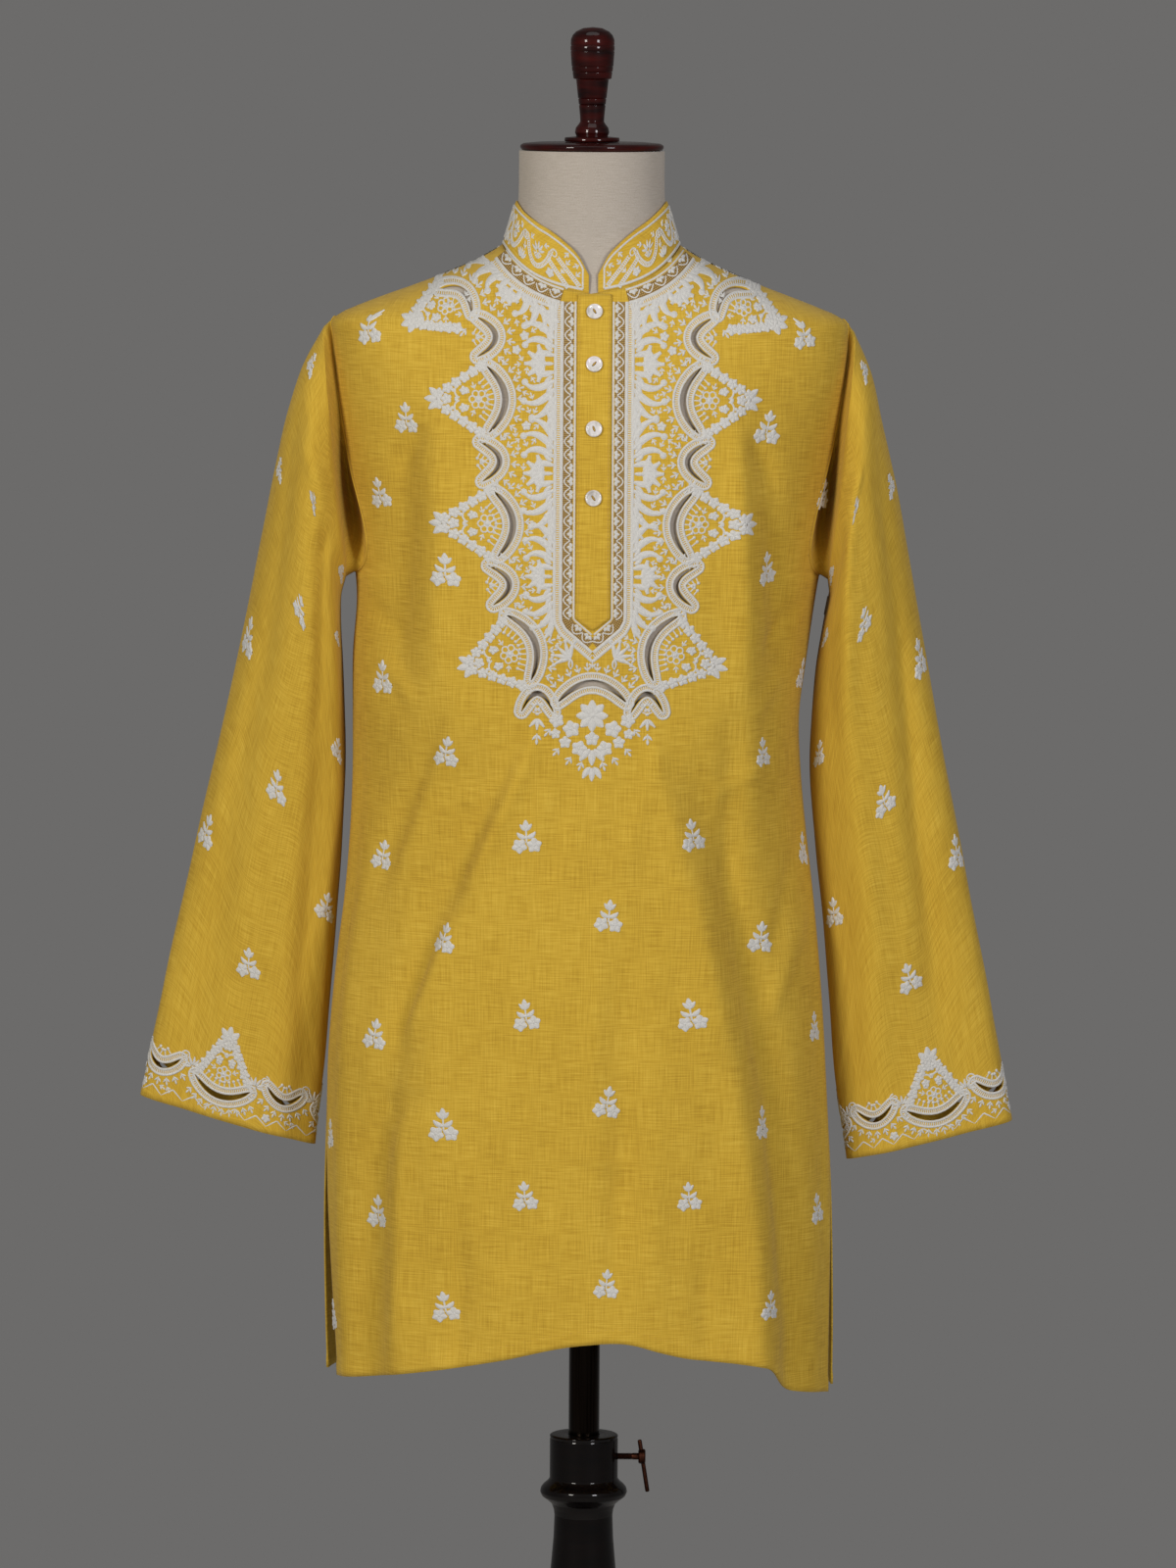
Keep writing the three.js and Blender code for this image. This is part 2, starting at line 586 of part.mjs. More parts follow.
// The yoke's slots, as crescents that bulge towards the placket, and upwards over the foot.
function yokeSlots() {
  const slots = [];
  const down = (sign, z, { length, bulge, slot, out }) => {
    const top = z + length / 2;
    const foot = z - length / 2;
    const x1 = CENTRE_X + sign * (yokeEdge(top) + out);
    const x2 = CENTRE_X + sign * (yokeEdge(foot) + out);
    slots.push(crescent(x1, top, x2, foot, -sign * bulge, slot));
  };
  const arch = (sign, { x, z, length, bulge, slot }) => {
    const middle = CENTRE_X + sign * x;
    slots.push(crescent(middle - length / 2, z, middle + length / 2, z, bulge, slot));
  };
  for (const sign of [-1, 1]) {
    const { fromX, fromZ, toX, toZ, bulge, slot } = SHOULDER_ARC;
    const [outer, inner] = [fromX, toX].map((x) => CENTRE_X + sign * x);
    slots.push(crescent(outer, fromZ, inner, toZ, -sign * bulge, slot));
    for (let k = 0; k < SCALLOPS; k += 1) {
      const z = FIRST_CURL_Z - k * SCALLOP_PITCH;
      down(sign, z, CURL);
      down(sign, z - SCALLOP_PITCH / 2, ARC);
    }
    arch(sign, FOOT_CURL);
  }
  arch(1, FOOT_ARC);
  return slots;
}

function frontPanel() {
  let solid = toSolid(bodyPanel(true));
  for (const slot of yokeSlots()) solid = solid.subtract(slotCutter(slot, overFront));
  return toGeometry(solid.subtract(frontOpening()));
}

// The cutter of the slit under the placket.
function frontOpening() {
  const TOP = NECK_POINT_Z;
  const STEPS = 12;
  const layer = (out) =>
    Array.from({ length: STEPS + 1 }, (_, i) =>
      [-1, 1].map((side) =>
        overFront(
          CENTRE_X + (side * FRONT_SLIT_WIDTH) / 2,
          THREE.MathUtils.lerp(TOP, PLACKET_SHOULDER_Z, i / STEPS),
          out,
        ),
      ),
    );
  return toSolid(wallBetween(layer(CUT_REACH), layer(-CLOTH - CUT_REACH)));
}

// The armhole's edge round one side of the body: turn 0 at the shoulder tip, a quarter turn in front.
function armholePoint(sign, turn) {
  const inFront = Math.sin(turn) >= 0;
  const z = armholeZ(turn);
  const inset = armholeInset(Math.abs(turn), inFront);
  const angle = inFront ? 90 * DEG - inset : 90 * DEG + inset;
  return bodyPoint(sign * angle, z);
}

const SLEEVE_COLUMNS = ["outX", "outZ", "inX", "inZ", "front", "back", "y"];
const sleeveTables = Object.fromEntries(
  Object.entries(SLEEVE_SECTIONS).map(([side, rows]) => [
    side,
    columns(rows.map((row, i) => ({ ...row, at: i + 1 })), "at", SLEEVE_COLUMNS),
  ]),
);

// A point on a sleeve's outer surface. Row 0 is the armhole; each later whole row is a row of the table.
function sleevePoint(side, row, turn) {
  const sign = side === "left" ? -1 : 1;
  const table = sleeveTables[side];
  const rows = SLEEVE_SECTIONS[side].length;
  const at = Math.max(row, 1);
  const out = new THREE.Vector3(sign * table.outX(at), table.y(at), table.outZ(at));
  const into = new THREE.Vector3(sign * table.inX(at), table.y(at), table.inZ(at));
  const c = Math.cos(turn);
  const s = Math.sin(turn);
  const middle = out.clone().add(into).multiplyScalar(0.5);
  const halfWidth = out.clone().sub(into).multiplyScalar(0.5);
  const share = (row - 1) / (rows - 1);
  let push = 0;
  const degrees = ((turn / DEG) % 360 + 360) % 360;
  for (const fold of SLEEVE_FOLDS[side])
    push += foldPush(fold, degrees, (share - fold.top) / (fold.bottom - fold.top));
  const depth = s > 0 ? table.front(at) : table.back(at);
  const power = 2 / 2.15;
  const hung = middle
    .addScaledVector(halfWidth, signedPower(c, power) * (1 + (push * Math.abs(c)) / halfWidth.length()))
    .add(new THREE.Vector3(0, -signedPower(s, power) * (depth + push * Math.abs(s)), 0));
  if (row >= 2) return hung;
  const tuck = Math.exp(-(((degrees - POCKET_TURN) / POCKET_DEG) ** 2));
  const seam = SEAM_GAP + POCKET_SEAM * tuck;
  const sewn = armholePoint(sign, turn).add(new THREE.Vector3(sign * seam, 0, 0));
  const weight = row <= 1 ? 0.82 * smooth(row) : 0.82 + 0.18 * smooth(row - 1);
  const pocket = POCKET_DEPTH * Math.sin(Math.PI * Math.min(row / 1.3, 1)) ** 2 * tuck;
  return sewn.lerp(hung, weight).add(new THREE.Vector3(0, pocket, 0));
}

function sleeveNormal(side, row, turn) {
  const sign = side === "left" ? -1 : 1;
  const rows = SLEEVE_SECTIONS[side].length;
  const low = Math.min(Math.max(row, 0.06), rows - 0.06);
  return normalOf((a, b) => sleevePoint(side, b, a), turn, low, 1.5 * DEG, 0.05).multiplyScalar(sign);
}

// Half a sleeve: the front from the outer fold to the underarm seam, or the back.
function sleeveHalf(side, front) {
  const outer = [];
  const inner = [];
  for (const row of SLEEVE_ROWS) {
    const line = [];
    const under = [];
    for (let j = 0; j <= ARMHOLE_ROWS; j += 1) {
      const turn = (front ? 1 : -1) * armholeTurn(j);
      const p = sleevePoint(side, row, turn);
      const q = p.clone().addScaledVector(sleeveNormal(side, row, turn), -CLOTH);
      if (j === 0 || j === ARMHOLE_ROWS) {
        const apart = (front ? -1 : 1) * (SEAM_GAP / 2);
        p.y += apart;
        q.y += apart;
      }
      line.push(p);
      under.push(q);
    }
    outer.push(line);
    inner.push(under);
  }
  return wallBetween(outer, inner);
}

// A place over the cuff: how far round its edge from the outer fold, how far up, and how far out.
function overCuff(side) {
  const rows = SLEEVE_SECTIONS[side].length;
  const STEPS = 120;
  const around = [0];
  for (let i = 1; i <= STEPS; i += 1) {
    const a = sleevePoint(side, rows, ((i - 1) / STEPS) * 2 * Math.PI);
    const b = sleevePoint(side, rows, (i / STEPS) * 2 * Math.PI);
    around.push(around[i - 1] + a.distanceTo(b));
  }
  const girth = around[STEPS];
  const rowLength = sleevePoint(side, rows, Math.PI / 2).distanceTo(sleevePoint(side, rows - 1, Math.PI / 2));
  const turnAt = (s) => {
    const distance = ((s % girth) + girth) % girth;
    let i = 0;
    while (i < STEPS - 1 && around[i + 1] < distance) i += 1;
    const part = (distance - around[i]) / (around[i + 1] - around[i]);
    return ((i + part) / STEPS) * 2 * Math.PI;
  };
  const place = (s, up, out) => {
    const turn = turnAt(s);
    const row = rows - up / rowLength;
    return sleevePoint(side, row, turn).addScaledVector(sleeveNormal(side, row, turn), out);
  };
  return { girth, place };
}

// Both halves of a sleeve with the slots of its cuff cut through.
function sleeveHalves(side) {
  const { girth, place } = overCuff(side);
  const pitch = girth / CUFF_REPEATS;
  const cutters = [];
  for (let k = 0; k < CUFF_REPEATS; k += 1) {
    const arc = (k + 0.66) * pitch;
    const curl = (k + 0.16) * pitch;
    for (const [middle, shape] of [[arc, CUFF_ARC], [curl, CUFF_CURL]]) {
      const half = shape.length / 2;
      const outline = crescent(middle - half, shape.height, middle + half, shape.height, -shape.bulge, shape.slot);
      cutters.push(slotCutter(outline, place));
    }
  }
  return [true, false].map((front) => {
    let solid = toSolid(sleeveHalf(side, front));
    for (const cutter of cutters) solid = solid.subtract(cutter);
    const pieces = solid.decompose().sort((a, b) => b.volume() - a.volume());
    return toGeometry(pieces[0]);
  });
}

// The collar's outer face at an angle round the body and a height over its seam.
function collarPoint(angle, height) {
  const foot = bodyPoint(angle, neckZ(angle), false);
  const lean = height / COLLAR_RISE;
  const halfFoot = body.right(NECK_POINT_Z);
  const share = Math.abs(foot.x) / halfFoot;
  const narrowing = 1 - (1 - COLLAR_TOP.taper) * smooth(share);
  const topShare = Math.min((share * narrowing) / COLLAR_TOP.taper, 1);
  const depth = foot.y < 0 ? COLLAR_TOP.front : COLLAR_TOP.back;
  const topY = Math.sign(foot.y) * depth * (1 - topShare ** 2.1) ** (1 / 2.1);
  return new THREE.Vector3(
    foot.x * THREE.MathUtils.lerp(1, narrowing, lean),
    THREE.MathUtils.lerp(foot.y, topY, lean),
    foot.z + height,
  );
}

function collarGeometry() {
  const start = frontAngle(COLLAR_MIDDLE_X + COLLAR_END_GAP, FRONT_NECK_Z);
  const end = 2 * Math.PI + frontAngle(COLLAR_MIDDLE_X - COLLAR_END_GAP, FRONT_NECK_Z);
  const outer = Array.from({ length: COLLAR_ROWS + 1 }, () => []);
  const inner = Array.from({ length: COLLAR_ROWS + 1 }, () => []);
  for (let j = 0; j <= COLLAR_COLUMNS; j += 1) {
    const even = j / COLLAR_COLUMNS;
    const share = even - 0.1 * Math.sin(2 * Math.PI * even); // closer together at the rounded ends
    const angle = THREE.MathUtils.lerp(start, end, share);
    const foot = bodyPoint(angle, neckZ(angle), false);
    const fromMiddle = Math.max(Math.abs(foot.x - COLLAR_MIDDLE_X) - COLLAR_END_GAP, 0);
    const rise = Math.cos(angle) > 0 ? neckline.rise(fromMiddle) : COLLAR_RISE;
    for (let i = 0; i <= COLLAR_ROWS; i += 1) {
      const height = SEAM_GAP + ((rise - SEAM_GAP) * i) / COLLAR_ROWS;
      const p = collarPoint(angle, height);
      const normal = normalOf(collarPoint, angle, height, ANGLE_STEP, 1);
      outer[i].push(p);
      inner[i].push(p.clone().addScaledVector(normal, -COLLAR_CLOTH));
    }
  }
  return wallBetween(outer, inner);
}

// The placket lies on the front, made from the front's own points.
function placketGeometry() {
  const outer = [];
  const inner = [];
  for (let i = 0; i <= PLACKET_ROWS; i += 1) {
    const line = [];
    const under = [];
    for (let j = 0; j <= PLACKET_COLUMNS; j += 1) {
      const across = -1 + (2 * j) / PLACKET_COLUMNS;
      const point = PLACKET_POINT * (1 - Math.abs(across));
      const z = THREE.MathUtils.lerp(PLACKET_TOP_Z, PLACKET_SHOULDER_Z - point, i / PLACKET_ROWS);
      const x = CENTRE_X + (across * PLACKET_WIDTH) / 2;
      line.push(overFront(x, z, SEAM_GAP + CLOTH));
      under.push(overFront(x, z, SEAM_GAP));
    }
    outer.push(line);
    inner.push(under);
  }
  return wallBetween(outer, inner);
}

function lathe(profile, segments) {
  return new THREE.LatheGeometry(profile.map(([r, z]) => new THREE.Vector2(r, z)), segments);
}

// A turned piece stands along +Z.
function turned(profile, segments) {
  return lathe(profile, segments).rotateX(Math.PI / 2);
}

function buttonGeometry() {
  const r = BUTTON_DIAMETER / 2;
  return turned(
    [
      [0, 0],
      [r - BUTTON_RIM, 0],
      [r, BUTTON_RIM],
      [r, BUTTON_THICK - BUTTON_RIM],
      [r - BUTTON_RIM, BUTTON_THICK],
      [r - 3 * BUTTON_RIM, BUTTON_THICK - BUTTON_RIM],
      [0, BUTTON_THICK - BUTTON_RIM],
    ],
    BUTTON_SEGMENTS,
  );
}

// Dress form: its shoulders carry the cloth, below them it has its own waist and hips.
function formGeometry() {
  const rings = [];
  const own = columns(FORM_SECTIONS, "z", ["side", "front", "back"]);
  const neck = columns(NECK_SECTIONS, "z", ["side", "front", "back"]);
  const ring = (point) => Array.from({ length: FORM_STEPS }, (_, j) => point((2 * Math.PI * j) / FORM_STEPS));
  const oval = (table, z, power) => (angle) => {
    const s = Math.sin(angle);
    const c = Math.cos(angle);
    const depth = c > 0 ? table.front(z) : table.back(z);
    return new THREE.Vector3(table.side(z) * signedPower(s, power), -depth * signedPower(c, power), z);
  };
  for (const row of FORM_SECTIONS) rings.push(ring(oval(own, row.z, TORSO_POWER)));
  for (const { z, clear } of FORM_SHOULDERS)
    rings.push(
      ring((angle) => {
        const p = bodyPoint(angle, z, false);
        p.addScaledVector(bodyNormal(angle, z, false), -(CLOTH + clear));
        const sideways = Math.abs(Math.sin(angle)) ** 6;
        const low = smooth((SHOULDER_TIP_Z + 14 - z) / 30);
        p.x -= Math.sign(p.x) * FORM_SHOULDER_SHRINK * sideways * low;
        const ease = smooth((SHOULDER_TIP_Z - z) / 60) * 5;
        p.y -= Math.sign(p.y) * ease * Math.abs(Math.cos(angle));
        return p;
      }),
    );
  for (const row of NECK_SECTIONS) rings.push(ring(oval(neck, row.z, 1)));
  return closedLoft(rings);
}

// A solid through rings of points, closed by a fan at each end.
function closedLoft(rings) {
  const count = rings[0].length;
  const positions = rings.flat().flatMap((p) => p.toArray());
  const index = [];
  for (let i = 0; i < rings.length - 1; i += 1)
    for (let j = 0; j < count; j += 1) {
      const k = (j + 1) % count;
      const a = i * count;
      const b = (i + 1) * count;
      index.push(a + j, a + k, b + k, a + j, b + k, b + j);
    }
  for (const [i, flip] of [[0, true], [rings.length - 1, false]]) {
    const middle = rings[i].reduce((sum, p) => sum.add(p), new THREE.Vector3()).divideScalar(count);
    positions.push(middle.x, middle.y, rings[i][0].z);
    const tip = positions.length / 3 - 1;
    for (let j = 0; j < count; j += 1) {
      const a = i * count + j;
      const b = i * count + ((j + 1) % count);
      if (flip) index.push(tip, b, a);
      else index.push(tip, a, b);
    }
  }
  return closedGeometry(positions, index);
}

function neckCapGeometry() {
  const bottom = NECK_SECTIONS.at(-1).z + SEAM_GAP;
  const r = CAP_RADIUS;
  return turned(
    [[0, bottom], [r - 1.5, bottom], [r, bottom + 2], [r, bottom + 4], [r - 3, CAP_TOP_Z - 1], [r - 14, CAP_TOP_Z], [0, CAP_TOP_Z]],
    TURNED_SEGMENTS,
  );
}

function finialGeometry() {
  const foot = CAP_TOP_Z + SEAM_GAP;
  return turned(
    [
      [0, foot], [22, foot], [23, foot + 1.2], [22.6, foot + 3.6], [13, 1630.6],
      [14.3, 1634], [13.4, 1638.5], [9.9, 1643], [11, 1657], [12.05, 1662],
      [13.5, 1677], [15.8, 1678], [17.3, 1688.6], [18.2, 1701], [18.3, 1710],
      [16, 1716.4], [10, 1720.2], [0, 1721.4],
    ],
    16,
  );
}

function poleGeometry() {
  const top = FORM_SECTIONS[0].z - SEAM_GAP;
  return turned([[0, POLE_BOTTOM_Z], [POLE_RADIUS, POLE_BOTTOM_Z], [POLE_RADIUS, top], [0, top]], 24);
}

function clampAxis(geometry) {
  return geometry.rotateY(Math.PI / 2).translate(0, 0, CLAMP_Z);
}

function postGeometry() {
  const bottom = BASE_THICK + SEAM_GAP;
  const r = POST_SOCKET_RADIUS;
  const post = turned(
    [
      [0, bottom], [46, bottom], [46, 42], [31, 58], [25, 84], [25.5, 130],
      [31, 220], [34, 300], [32.5, 370], [27, 431], [24.5, 471], [27, 481],
      [35.2, 487.5], [36.7, 491], [34.5, 496.5], [r, 502.5], [r, POST_TOP_Z - 1.5],
      [r - 1.5, POST_TOP_Z], [BORE_RADIUS, POST_TOP_Z], [BORE_RADIUS, BORE_BOTTOM_Z], [0, BORE_BOTTOM_Z],
    ],
    TURNED_SEGMENTS,
  );
  const hole = clampAxis(turned([[0, 0], [SCREW_HOLE_RADIUS, 0], [SCREW_HOLE_RADIUS, 40], [0, 40]], 16));
  return toGeometry(toSolid(post).subtract(toSolid(hole)));
}

function baseGeometry() {
  const r = BASE_RADIUS;
  return turned(
    [[0, 0], [r - 3, 0], [r, 3], [r, 12], [r - 5, 17], [r - 24, 20], [r - 60, BASE_THICK], [0, BASE_THICK]],
    40,
  );
}

function clampGeometry() {
  const tip = POLE_RADIUS + SEAM_GAP;
  const end = SCREW_END_X + KNOB_LENGTH;
  const screw = clampAxis(
    turned(
      [
        [0, tip], [SCREW_RADIUS, tip], [SCREW_RADIUS, SCREW_END_X], [KNOB_RADIUS - 1, SCREW_END_X],
        [KNOB_RADIUS, SCREW_END_X + 1], [KNOB_RADIUS, end - 1], [KNOB_RADIUS - 1, end], [0, end],
      ],
      12,
    ),
  );
  const half = BAR_LENGTH / 2;
  const r = BAR_RADIUS;
  const bar = turned([[0, -half], [r, -half + 0.5], [r, half - 0.5], [0, half]], 8)
    .rotateY(-BAR_TILT_DEG * DEG)
    .translate(end - r, 0, CLAMP_Z - BAR_DROP);
  return toGeometry(toSolid(screw).add(toSolid(bar)));
}

const finish = (color, roughness, metalness = 0) =>
  new THREE.MeshStandardMaterial({ color, roughness, metalness, side: THREE.DoubleSide });
const LINEN = finish(0xc79a35, 0.85);
const FORM_COVER = finish(0xb8ac9f, 0.9);
const POLISHED_WOOD = finish(0x3a0a08, 0.2);
const BLACK_WOOD = finish(0x0c0807, 0.25);
const STEEL = finish(0x2a2623, 0.3, 0.9);
const RUSTED_STEEL = finish(0x3c2218, 0.6, 0.7);
const SHELL = finish(0xd8d5cf, 0.25);

const model = new THREE.Group();

function add(name, geometry, material) {
  const mesh = new THREE.Mesh(geometry, material);
  mesh.name = name;
  model.add(mesh);
  return mesh;
}

add("front_panel", frontPanel(), LINEN);
add("back_panel", bodyPanel(false), LINEN);
for (const side of ["left", "right"]) {
  const [front, back] = sleeveHalves(side);
  add(`sleeve_${side}_front`, front, LINEN);
  add(`sleeve_${side}_back`, back, LINEN);
}
add("collar", collarGeometry(), LINEN);
add("placket", placketGeometry(), LINEN);
BUTTON_HEIGHTS.forEach((z, i) => {
  const button = add(`button_${i + 1}`, buttonGeometry(), SHELL);
  const angle = frontAngle(CENTRE_X, z);
  button.position.copy(overFront(CENTRE_X, z, 2 * SEAM_GAP + CLOTH));
  button.quaternion.setFromUnitVectors(UP, bodyNormal(angle, z));
});
add("dress_form", formGeometry(), FORM_COVER);
add("neck_cap", neckCapGeometry(), POLISHED_WOOD);
add("finial", finialGeometry(), POLISHED_WOOD);
add("pole", poleGeometry(), STEEL);
add("post", postGeometry(), BLACK_WOOD);
add("base", baseGeometry(), BLACK_WOOD);
add("clamp_screw", clampGeometry(), RUSTED_STEEL);

export default model;
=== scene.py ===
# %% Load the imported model
import math

import bpy
import numpy as np
from mathutils import Matrix, Vector


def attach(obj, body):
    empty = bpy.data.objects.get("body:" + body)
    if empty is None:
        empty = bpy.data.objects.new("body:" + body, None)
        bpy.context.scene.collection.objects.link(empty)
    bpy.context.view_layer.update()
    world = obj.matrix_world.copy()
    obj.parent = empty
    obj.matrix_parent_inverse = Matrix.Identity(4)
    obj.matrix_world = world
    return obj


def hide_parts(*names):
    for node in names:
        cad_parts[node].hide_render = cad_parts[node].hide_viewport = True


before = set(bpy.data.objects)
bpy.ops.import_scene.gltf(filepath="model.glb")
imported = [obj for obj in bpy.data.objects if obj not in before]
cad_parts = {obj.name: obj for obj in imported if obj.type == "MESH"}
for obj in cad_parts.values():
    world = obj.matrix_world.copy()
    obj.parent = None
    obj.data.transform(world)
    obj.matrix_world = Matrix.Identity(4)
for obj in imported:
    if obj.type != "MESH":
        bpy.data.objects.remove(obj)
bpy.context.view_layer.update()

MM = 0.001

# %% [markdown]
# The camera comes first, because everything else is judged through it. The real photograph was taken from
# far off with a long lens, a little above the collar and tipped down, so the hem curves and the shoulders
# don't. A camera is an object whose matrix holds its right, up and backward directions.

# %% Camera
CAMERA_DISTANCE = 7.0
CAMERA_HEIGHT = 1.778
CAMERA_PITCH = math.radians(5.61)
CAMERA_ROLL = math.radians(0.36)

forward = Vector((0, math.cos(CAMERA_PITCH), -math.sin(CAMERA_PITCH)))
level_right = Vector((1, 0, 0))
level_up = level_right.cross(forward)
right = level_right * math.cos(CAMERA_ROLL) + level_up * math.sin(CAMERA_ROLL)
up = right.cross(forward)
lens = bpy.data.cameras.new("camera")
lens.lens = 193
lens.sensor_fit = "VERTICAL"
lens.sensor_height = 36
camera = bpy.data.objects.new("camera", lens)
turn = Matrix((right, up, -forward)).transposed().to_4x4()
camera.matrix_world = Matrix.Translation((0, -CAMERA_DISTANCE, CAMERA_HEIGHT)) @ turn
bpy.context.scene.collection.objects.link(camera)
bpy.context.scene.camera = camera
print("camera at", tuple(camera.matrix_world.translation), "with a lens of", lens.lens, "mm")

# %% [markdown]
# The cloth follows one surface: a body section that changes with height. The tables below give that section
# in millimetres, left and right being the viewer's. Smooth curves through the tables fill in between the
# rows, and a "superellipse" power makes each section a little squarer than an oval.

# %% Sections of the kurta's body
CLOTH = 1.4
COLLAR_CLOTH = 1.8
SEAM_GAP = 0.3
SQUARENESS = 2.3
NECK_POINT_Z = 1541
FRONT_NECK_Z = 1503.5
BACK_NECK_Z = 1536
SHOULDER_TIP_Z = 1480
UNDERARM_Z = 1268
SLIT_TOP_Z = 848
CENTRE_X = 3
BODY = (  # z, left, right, front, back
    (1550, 68, 68, 58, 64), (1541, 74, 74, 62, 67), (1527, 98, 97, 69, 74), (1510, 139, 136, 78, 84),
    (1494, 183, 178, 86, 94), (1480, 213, 210, 93, 102), (1465, 215, 214, 100, 108),
    (1440, 214, 214, 109, 114), (1400, 212, 211, 120, 120), (1350, 208, 206, 129, 123),
    (1300, 200, 198, 134, 122), (1250, 194, 189, 137, 119), (1200, 197, 182, 137, 114),
    (1150, 197, 176, 136, 111), (1100, 197, 178, 135, 111), (1050, 199, 183, 135, 114),
    (1000, 203, 189, 136, 119), (950, 209, 194, 137, 124), (900, 214, 198, 138, 128),
    (850, 217, 201, 138, 131), (750, 217, 206, 138, 133), (650, 213, 208, 138, 133),
    (560, 209, 208, 137, 132),
)
# Soft folds: top and bottom height, angle at the top and at the bottom, width in degrees, rise
BODY_FOLDS = (
    (1180, 600, 13, 42, 8, 7), (1160, 600, 23, 55, 7, -8), (1180, 600, -7, -42, 9, 5),
    (1160, 600, -17, -55, 7, -6), (1450, 980, 34, 47, 7, 5), (1440, 1080, -31, -38, 8, 3.5),
    (1120, 600, -62, -68, 7, 4), (1420, 600, 176, 172, 9, -6), (1330, 600, 158, 149, 8, 7),
    (1200, 600, 140, 132, 7, -6), (1350, 600, 197, 206, 8, 6), (1180, 600, 214, 224, 7, -7),
    (1080, 600, 232, 240, 7, 5),
)


def column(places, values):
    """A smooth curve through the rows of a table."""
    order = np.argsort(places)
    x = np.array(places, float)[order]
    y = np.array(values, float)[order]
    slope = np.empty_like(y)
    slope[1:-1] = (y[2:] - y[:-2]) / (x[2:] - x[:-2])
    slope[0] = (y[1] - y[0]) / (x[1] - x[0])
    slope[-1] = (y[-1] - y[-2]) / (x[-1] - x[-2])

    def at(place):
        t = np.clip(place, x[0], x[-1])
        i = np.clip(np.searchsorted(x, t, side="right") - 1, 0, len(x) - 2)
        h = x[i + 1] - x[i]
        s = (t - x[i]) / h
        a = (2 * s**3 - 3 * s**2 + 1) * y[i] + (s**3 - 2 * s**2 + s) * h * slope[i]
        return a + (3 * s**2 - 2 * s**3) * y[i + 1] + (s**3 - s**2) * h * slope[i + 1]

    return at


def table(rows, names):
    """One smooth curve for each named column after the first."""
    cols = list(zip(*rows))
    return {name: column(cols[0], cols[k + 1]) for k, name in enumerate(names)}


def smooth(t):
    """An even step from 0 to 1 with soft ends."""
    t = np.clip(t, 0, 1)
    return t * t * (3 - 2 * t)


def signed_power(value, power):
    return np.sign(value) * np.abs(value) ** power


body = table(BODY, ("left", "right", "front", "back"))
print("chest half width at 1400 mm:", float(body["left"](1400)), float(body["right"](1400)))

# %% [markdown]
# Worn linen hangs in a few large folds and many small creases. The large ones are shared with the solid
# model. The small ones are lines drawn on the cloth, each with a width and a rise, and a very low wave
# keeps the cloth between them from looking like plastic. Adding them to the surface itself, before any mesh
# is made, means that the embroidery laid on it later bends with it.

# %% Tables of the folds and creases
CREASES = (  # x and z of both ends seen from the front, width, rise
    (-30, 1165, -108, 990, 8, 2.6), (-46, 1155, -124, 985, 8, -2.8), (-108, 990, -157, 876, 7, 2.4),
    (-120, 985, -166, 870, 7, -2.2), (-112, 1185, -186, 985, 10, -3.6), (-98, 1180, -170, 985, 8, 2.2),
    (33, 870, 22, 640, 12, -3.2), (52, 860, 60, 640, 12, 1.8), (-128, 852, -166, 812, 5, -2.4),
    (-120, 832, -162, 784, 4, 1.6), (-135, 800, -150, 740, 5, -1.4), (-150, 1440, -162, 1130, 14, -3.2),
    (-128, 1440, -136, 1180, 12, 2.4), (135, 1450, 165, 1140, 12, -4.0), (116, 1440, 128, 1150, 11, 2.6),
    (186, 1010, 146, 880, 7, 2.0), (176, 1060, 150, 940, 6, -1.8), (-64, 720, -70, 596, 14, 2.6),
    (-96, 730, -108, 600, 12, -2.2), (98, 730, 104, 605, 10, -2.4), (62, 1155, 26, 1010, 9, 1.8),
    (-62, 1108, -112, 1078, 5, 1.3), (-10, 1135, -40, 1000, 9, -1.6), (150, 1120, 96, 1085, 6, 1.5),
    (170, 1200, 130, 1150, 7, 1.8), (-178, 1210, -140, 1160, 7, 2.0), (-186, 1250, -150, 1215, 6, -2.0),
    (178, 1255, 140, 1205, 6, -2.0), (12, 990, 2, 820, 11, 1.6), (-150, 700, -158, 600, 9, 1.8),
    (150, 860, 168, 640, 9, -2.0), (-88, 900, -96, 760, 9, -1.6), (128, 1395, 156, 1340, 7, -1.8),
    (-132, 1400, -160, 1350, 7, -1.8), (70, 960, 84, 870, 7, -1.4), (-30, 860, -36, 720, 10, -1.4),
    (44, 1165, 84, 1000, 11, 3), (78, 1040, 118, 860, 11, 3.5), (114, 890, 136, 720, 11, 3.5),
    (134, 780, 141, 560, 11, 3.5), (-34, 1172, -106, 990, 9, 3.4), (-98, 1020, -154, 870, 9, 3.4),
    (-152, 880, -150, 580, 10, 3), (-104, 790, -110, 580, 9, -3), (30, 1000, 34, 690, 16, -3.4),
    (-119, 1430, -122, 1170, 9, 2.6), (119, 1420, 124, 1160, 9, 2.6), (117, 1180, 120, 980, 9, -3),
    (-140, 846, -172, 826, 4, -1.8), (-20, 800, 40, 782, 6, 1.2), (-10, 1000, 60, 1012, 6, 1.0),
)
